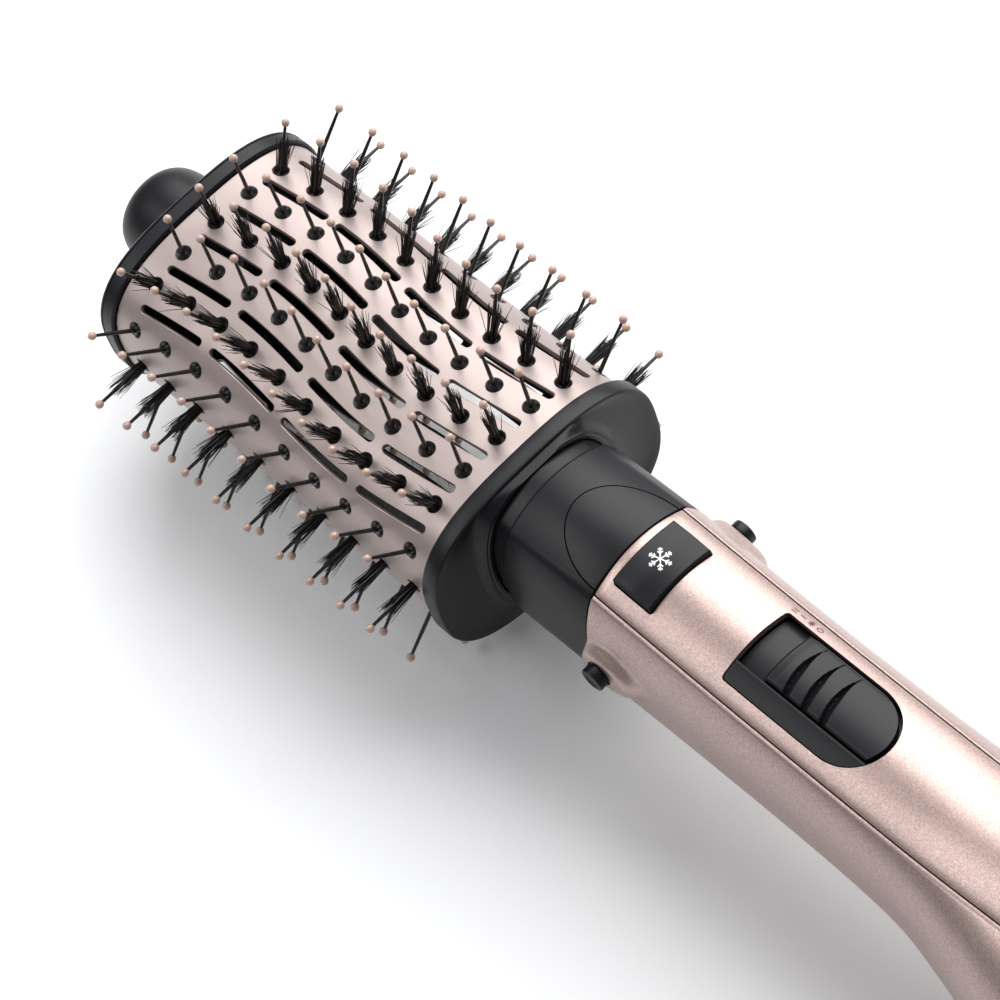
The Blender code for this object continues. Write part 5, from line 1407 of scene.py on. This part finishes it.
def makeCover():
    values = handleValues
    low, high = boxOf("rear_cover")
    front, end, axis, wall = low.x, high.x, values["tailAxis"], values["coverWall"]
    depth = end - front
    rings = []
    for share in spread(0.0, 1.0, count=12):
        shrink = blend(1.0, 0.8, 1 - math.sqrt(1 - share ** 2.6))
        rings.append(atX(handleRing(handleEnd, 0.0, shrink), front + depth * share))
    rings.append(atX(circleLike(rings[-1], axis, values["glandRadius"] + gap), end))
    rings.append(atX(rings[-1], end - wall))
    for x, shrink in ((end - wall, 0.74), (front + depth * 0.5, 0.88), (front, 0.93)):
        rings.append(atX(handleRing(handleEnd, wall * 0.6, shrink), x))
    cover = loft("rearCover", rings, "charcoal", wrap=True)
    tools, half, count = [], values["inletHalfWidth"], values["inletSlots"]
    for turn in turns(count, start=math.pi / count):
        out = Vector((0, math.cos(turn), math.sin(turn)))
        side = Vector((0, -math.sin(turn), math.cos(turn)))
        edge = []
        for centre, start in ((values["inletOuter"] - half, -90), (values["inletInner"] + half, 90)):
            for a in map(math.radians, spread(start, start + 180, count=8)):
                edge.append(out * (centre + half * math.cos(a)) + side * half * math.sin(a))
        tools.append(loft("slotTool", [[p + Vector((x, 0, axis)) for p in edge]
                                       for x in (end - wall - 1.5, end + 2)], "charcoal"))
    shapeWith(cover, joined("slotTools", tools))
    finishPiece(cover, "handle", "black_plastic", "rear_cover")


def makeGland():
    values = handleValues
    low, high = boxOf("cord_gland")
    end = boxOf("rear_cover")[1].x
    r, bore = values["glandRadius"], values["cordBore"]
    wall = end - values["coverWall"]
    profile = [(low.x, bore + 0.3), (low.x, r + 2), (wall - gap, r + 2), (wall - gap, r), (end + 0.6, r)]
    ribs, span = values["glandRibs"], high.x - end - 2.0
    for i in range(ribs):
        start = end + 0.8 + span * i / ribs
        wide = blend(r, r * 0.78, i / ribs)
        profile += [(start, wide), (start + span / ribs * 0.5, wide - 0.12),
                    (start + span / ribs * 0.6, wide - 0.75), (start + span / ribs * 0.9, wide - 0.75)]
    profile += [(high.x - 1.0, r * 0.76), (high.x - 0.2, r * 0.76), (high.x, r * 0.72),
                (high.x, bore + 0.2), (high.x - 0.3, bore), (low.x + 0.3, bore)]
    gland = turned("cordGland", profile, "charcoal", "x", (0, 0, values["tailAxis"]), 56, wrap=True)
    finishPiece(gland, "cord_gland", "black_plastic", "cord_gland")


def makeLoop():
    values = handleValues
    low, high = boxOf("hang_loop")
    centre = (low.z + high.z) / 2
    rings = []
    radius, wire = values["loopRadius"], values["loopWire"]
    for a in spread(-math.pi / 2, math.pi / 2, count=40):
        middle = Vector((low.x + radius * math.cos(a), radius * math.sin(a), centre))
        out = Vector((math.cos(a), math.sin(a), 0))
        rings.append([middle + out * wire * math.cos(t) + Vector((0, 0, wire * math.sin(t)))
                      for t in turns(20)])
    finishPiece(loft("hangLoop", rings, "charcoal"), "handle", "black_plastic", "hang_loop")


makeCover()
makeGland()
makeLoop()
print("tail made")


# finishes of the inner parts

innerFinishes = {
    "charcoal": ("front_carrier", "rear_carrier", "neck_spigot", "socket_ring"),
    "steel": ("nose_screw", "case_screw", "heater_tube", "thermal_cutout", "fan_motor", "motor_shaft"),
    "mica": ("mica_cross",),
    "heaterWire": ("heater_coil",),
    "board": ("control_board", "cool_shot_board"),
    "greyPlastic": ("slide_switch_body", "cool_shot_switch", "motor_mount", "fan_housing", "fan_rotor"),
    "gauze": ("dust_filter",),
}


def dressInnerParts():
    for finish, nodes in innerFinishes.items():
        for node in nodes:
            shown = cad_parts[node]
            shown.data.materials.clear()
            shown.data.materials.append(finishes[finish])


dressInnerParts()
print("inner parts dressed")


# setting

studio = {
    "floorColour": (0.955, 0.957, 0.965, 1),
    "worldColour": (0.92, 0.95, 1.0, 1),
    "worldStrength": 0.22,
    "keyPower": 28.5,
    "topPower": 5.0,
    "azimuth": 64.91,
    "elevation": 56.45,
    "roll": -22.28,
    "distance": 940.5,
    "aim": (45.4, -4.1, 0.0),
    "lens": 154.64,
    "floorHalf": 4.0,
}


def makeFloor():
    size = studio["floorHalf"]
    mesh = bpy.data.meshes.new("studioFloor")
    mesh.from_pydata([(-size, -size, 0), (size, -size, 0), (size, size, 0), (-size, size, 0)], [],
                     [(0, 1, 2, 3)])
    paper = bpy.data.materials.new("paper")
    paper.use_nodes = True
    surface = paper.node_tree.nodes["Principled BSDF"]
    surface.inputs["Base Color"].default_value = studio["floorColour"]
    surface.inputs["Roughness"].default_value = 0.9
    mesh.materials.append(paper)
    placed("studioFloor", mesh)


def addLight(name, spot, size, power, aim=(0, 0, 0.03)):
    lamp = bpy.data.lights.new(name, "AREA")
    lamp.shape = "RECTANGLE"
    lamp.size, lamp.size_y = size
    lamp.energy = power
    light = placed(name, lamp)
    light.location = spot
    light.rotation_mode = "QUATERNION"
    light.rotation_quaternion = (Vector(aim) - Vector(spot)).to_track_quat("-Z", "Y")


def makeStudio():
    makeFloor()
    world = bpy.data.worlds.new("studioWorld")
    world.use_nodes = True
    sky = world.node_tree.nodes["Background"]
    sky.inputs[0].default_value = studio["worldColour"]
    sky.inputs[1].default_value = studio["worldStrength"]
    bpy.context.scene.world = world
    bpy.context.scene.view_settings.view_transform = "Standard"
    addLight("keyLight", (-0.3, 0.8, 0.95), (1.5, 1.2), studio["keyPower"])
    addLight("topLight", (-0.6, -0.55, 1.0), (0.8, 0.5), studio["topPower"])


def makeCamera():
    lens = bpy.data.cameras.new("camera")
    lens.lens = studio["lens"]
    lens.sensor_width = 36.0
    lens.clip_start, lens.clip_end = 0.01, 20.0
    camera = placed("camera", lens)
    a, e, r = (math.radians(studio[key]) for key in ("azimuth", "elevation", "roll"))
    back = Vector((math.sin(a) * math.cos(e), -math.cos(a) * math.cos(e), math.sin(e)))
    flat = Vector((math.cos(a), math.sin(a), 0))
    high = back.cross(flat)
    right = math.cos(r) * flat + math.sin(r) * high
    up = math.cos(r) * high - math.sin(r) * flat
    turn = Matrix((right, up, back)).transposed().to_4x4()
    spot = inFrame(studio["aim"]) + back * studio["distance"] * mm
    camera.matrix_world = Matrix.Translation(spot) @ turn
    bpy.context.scene.camera = camera


makeStudio()
makeCamera()
print("studio made")
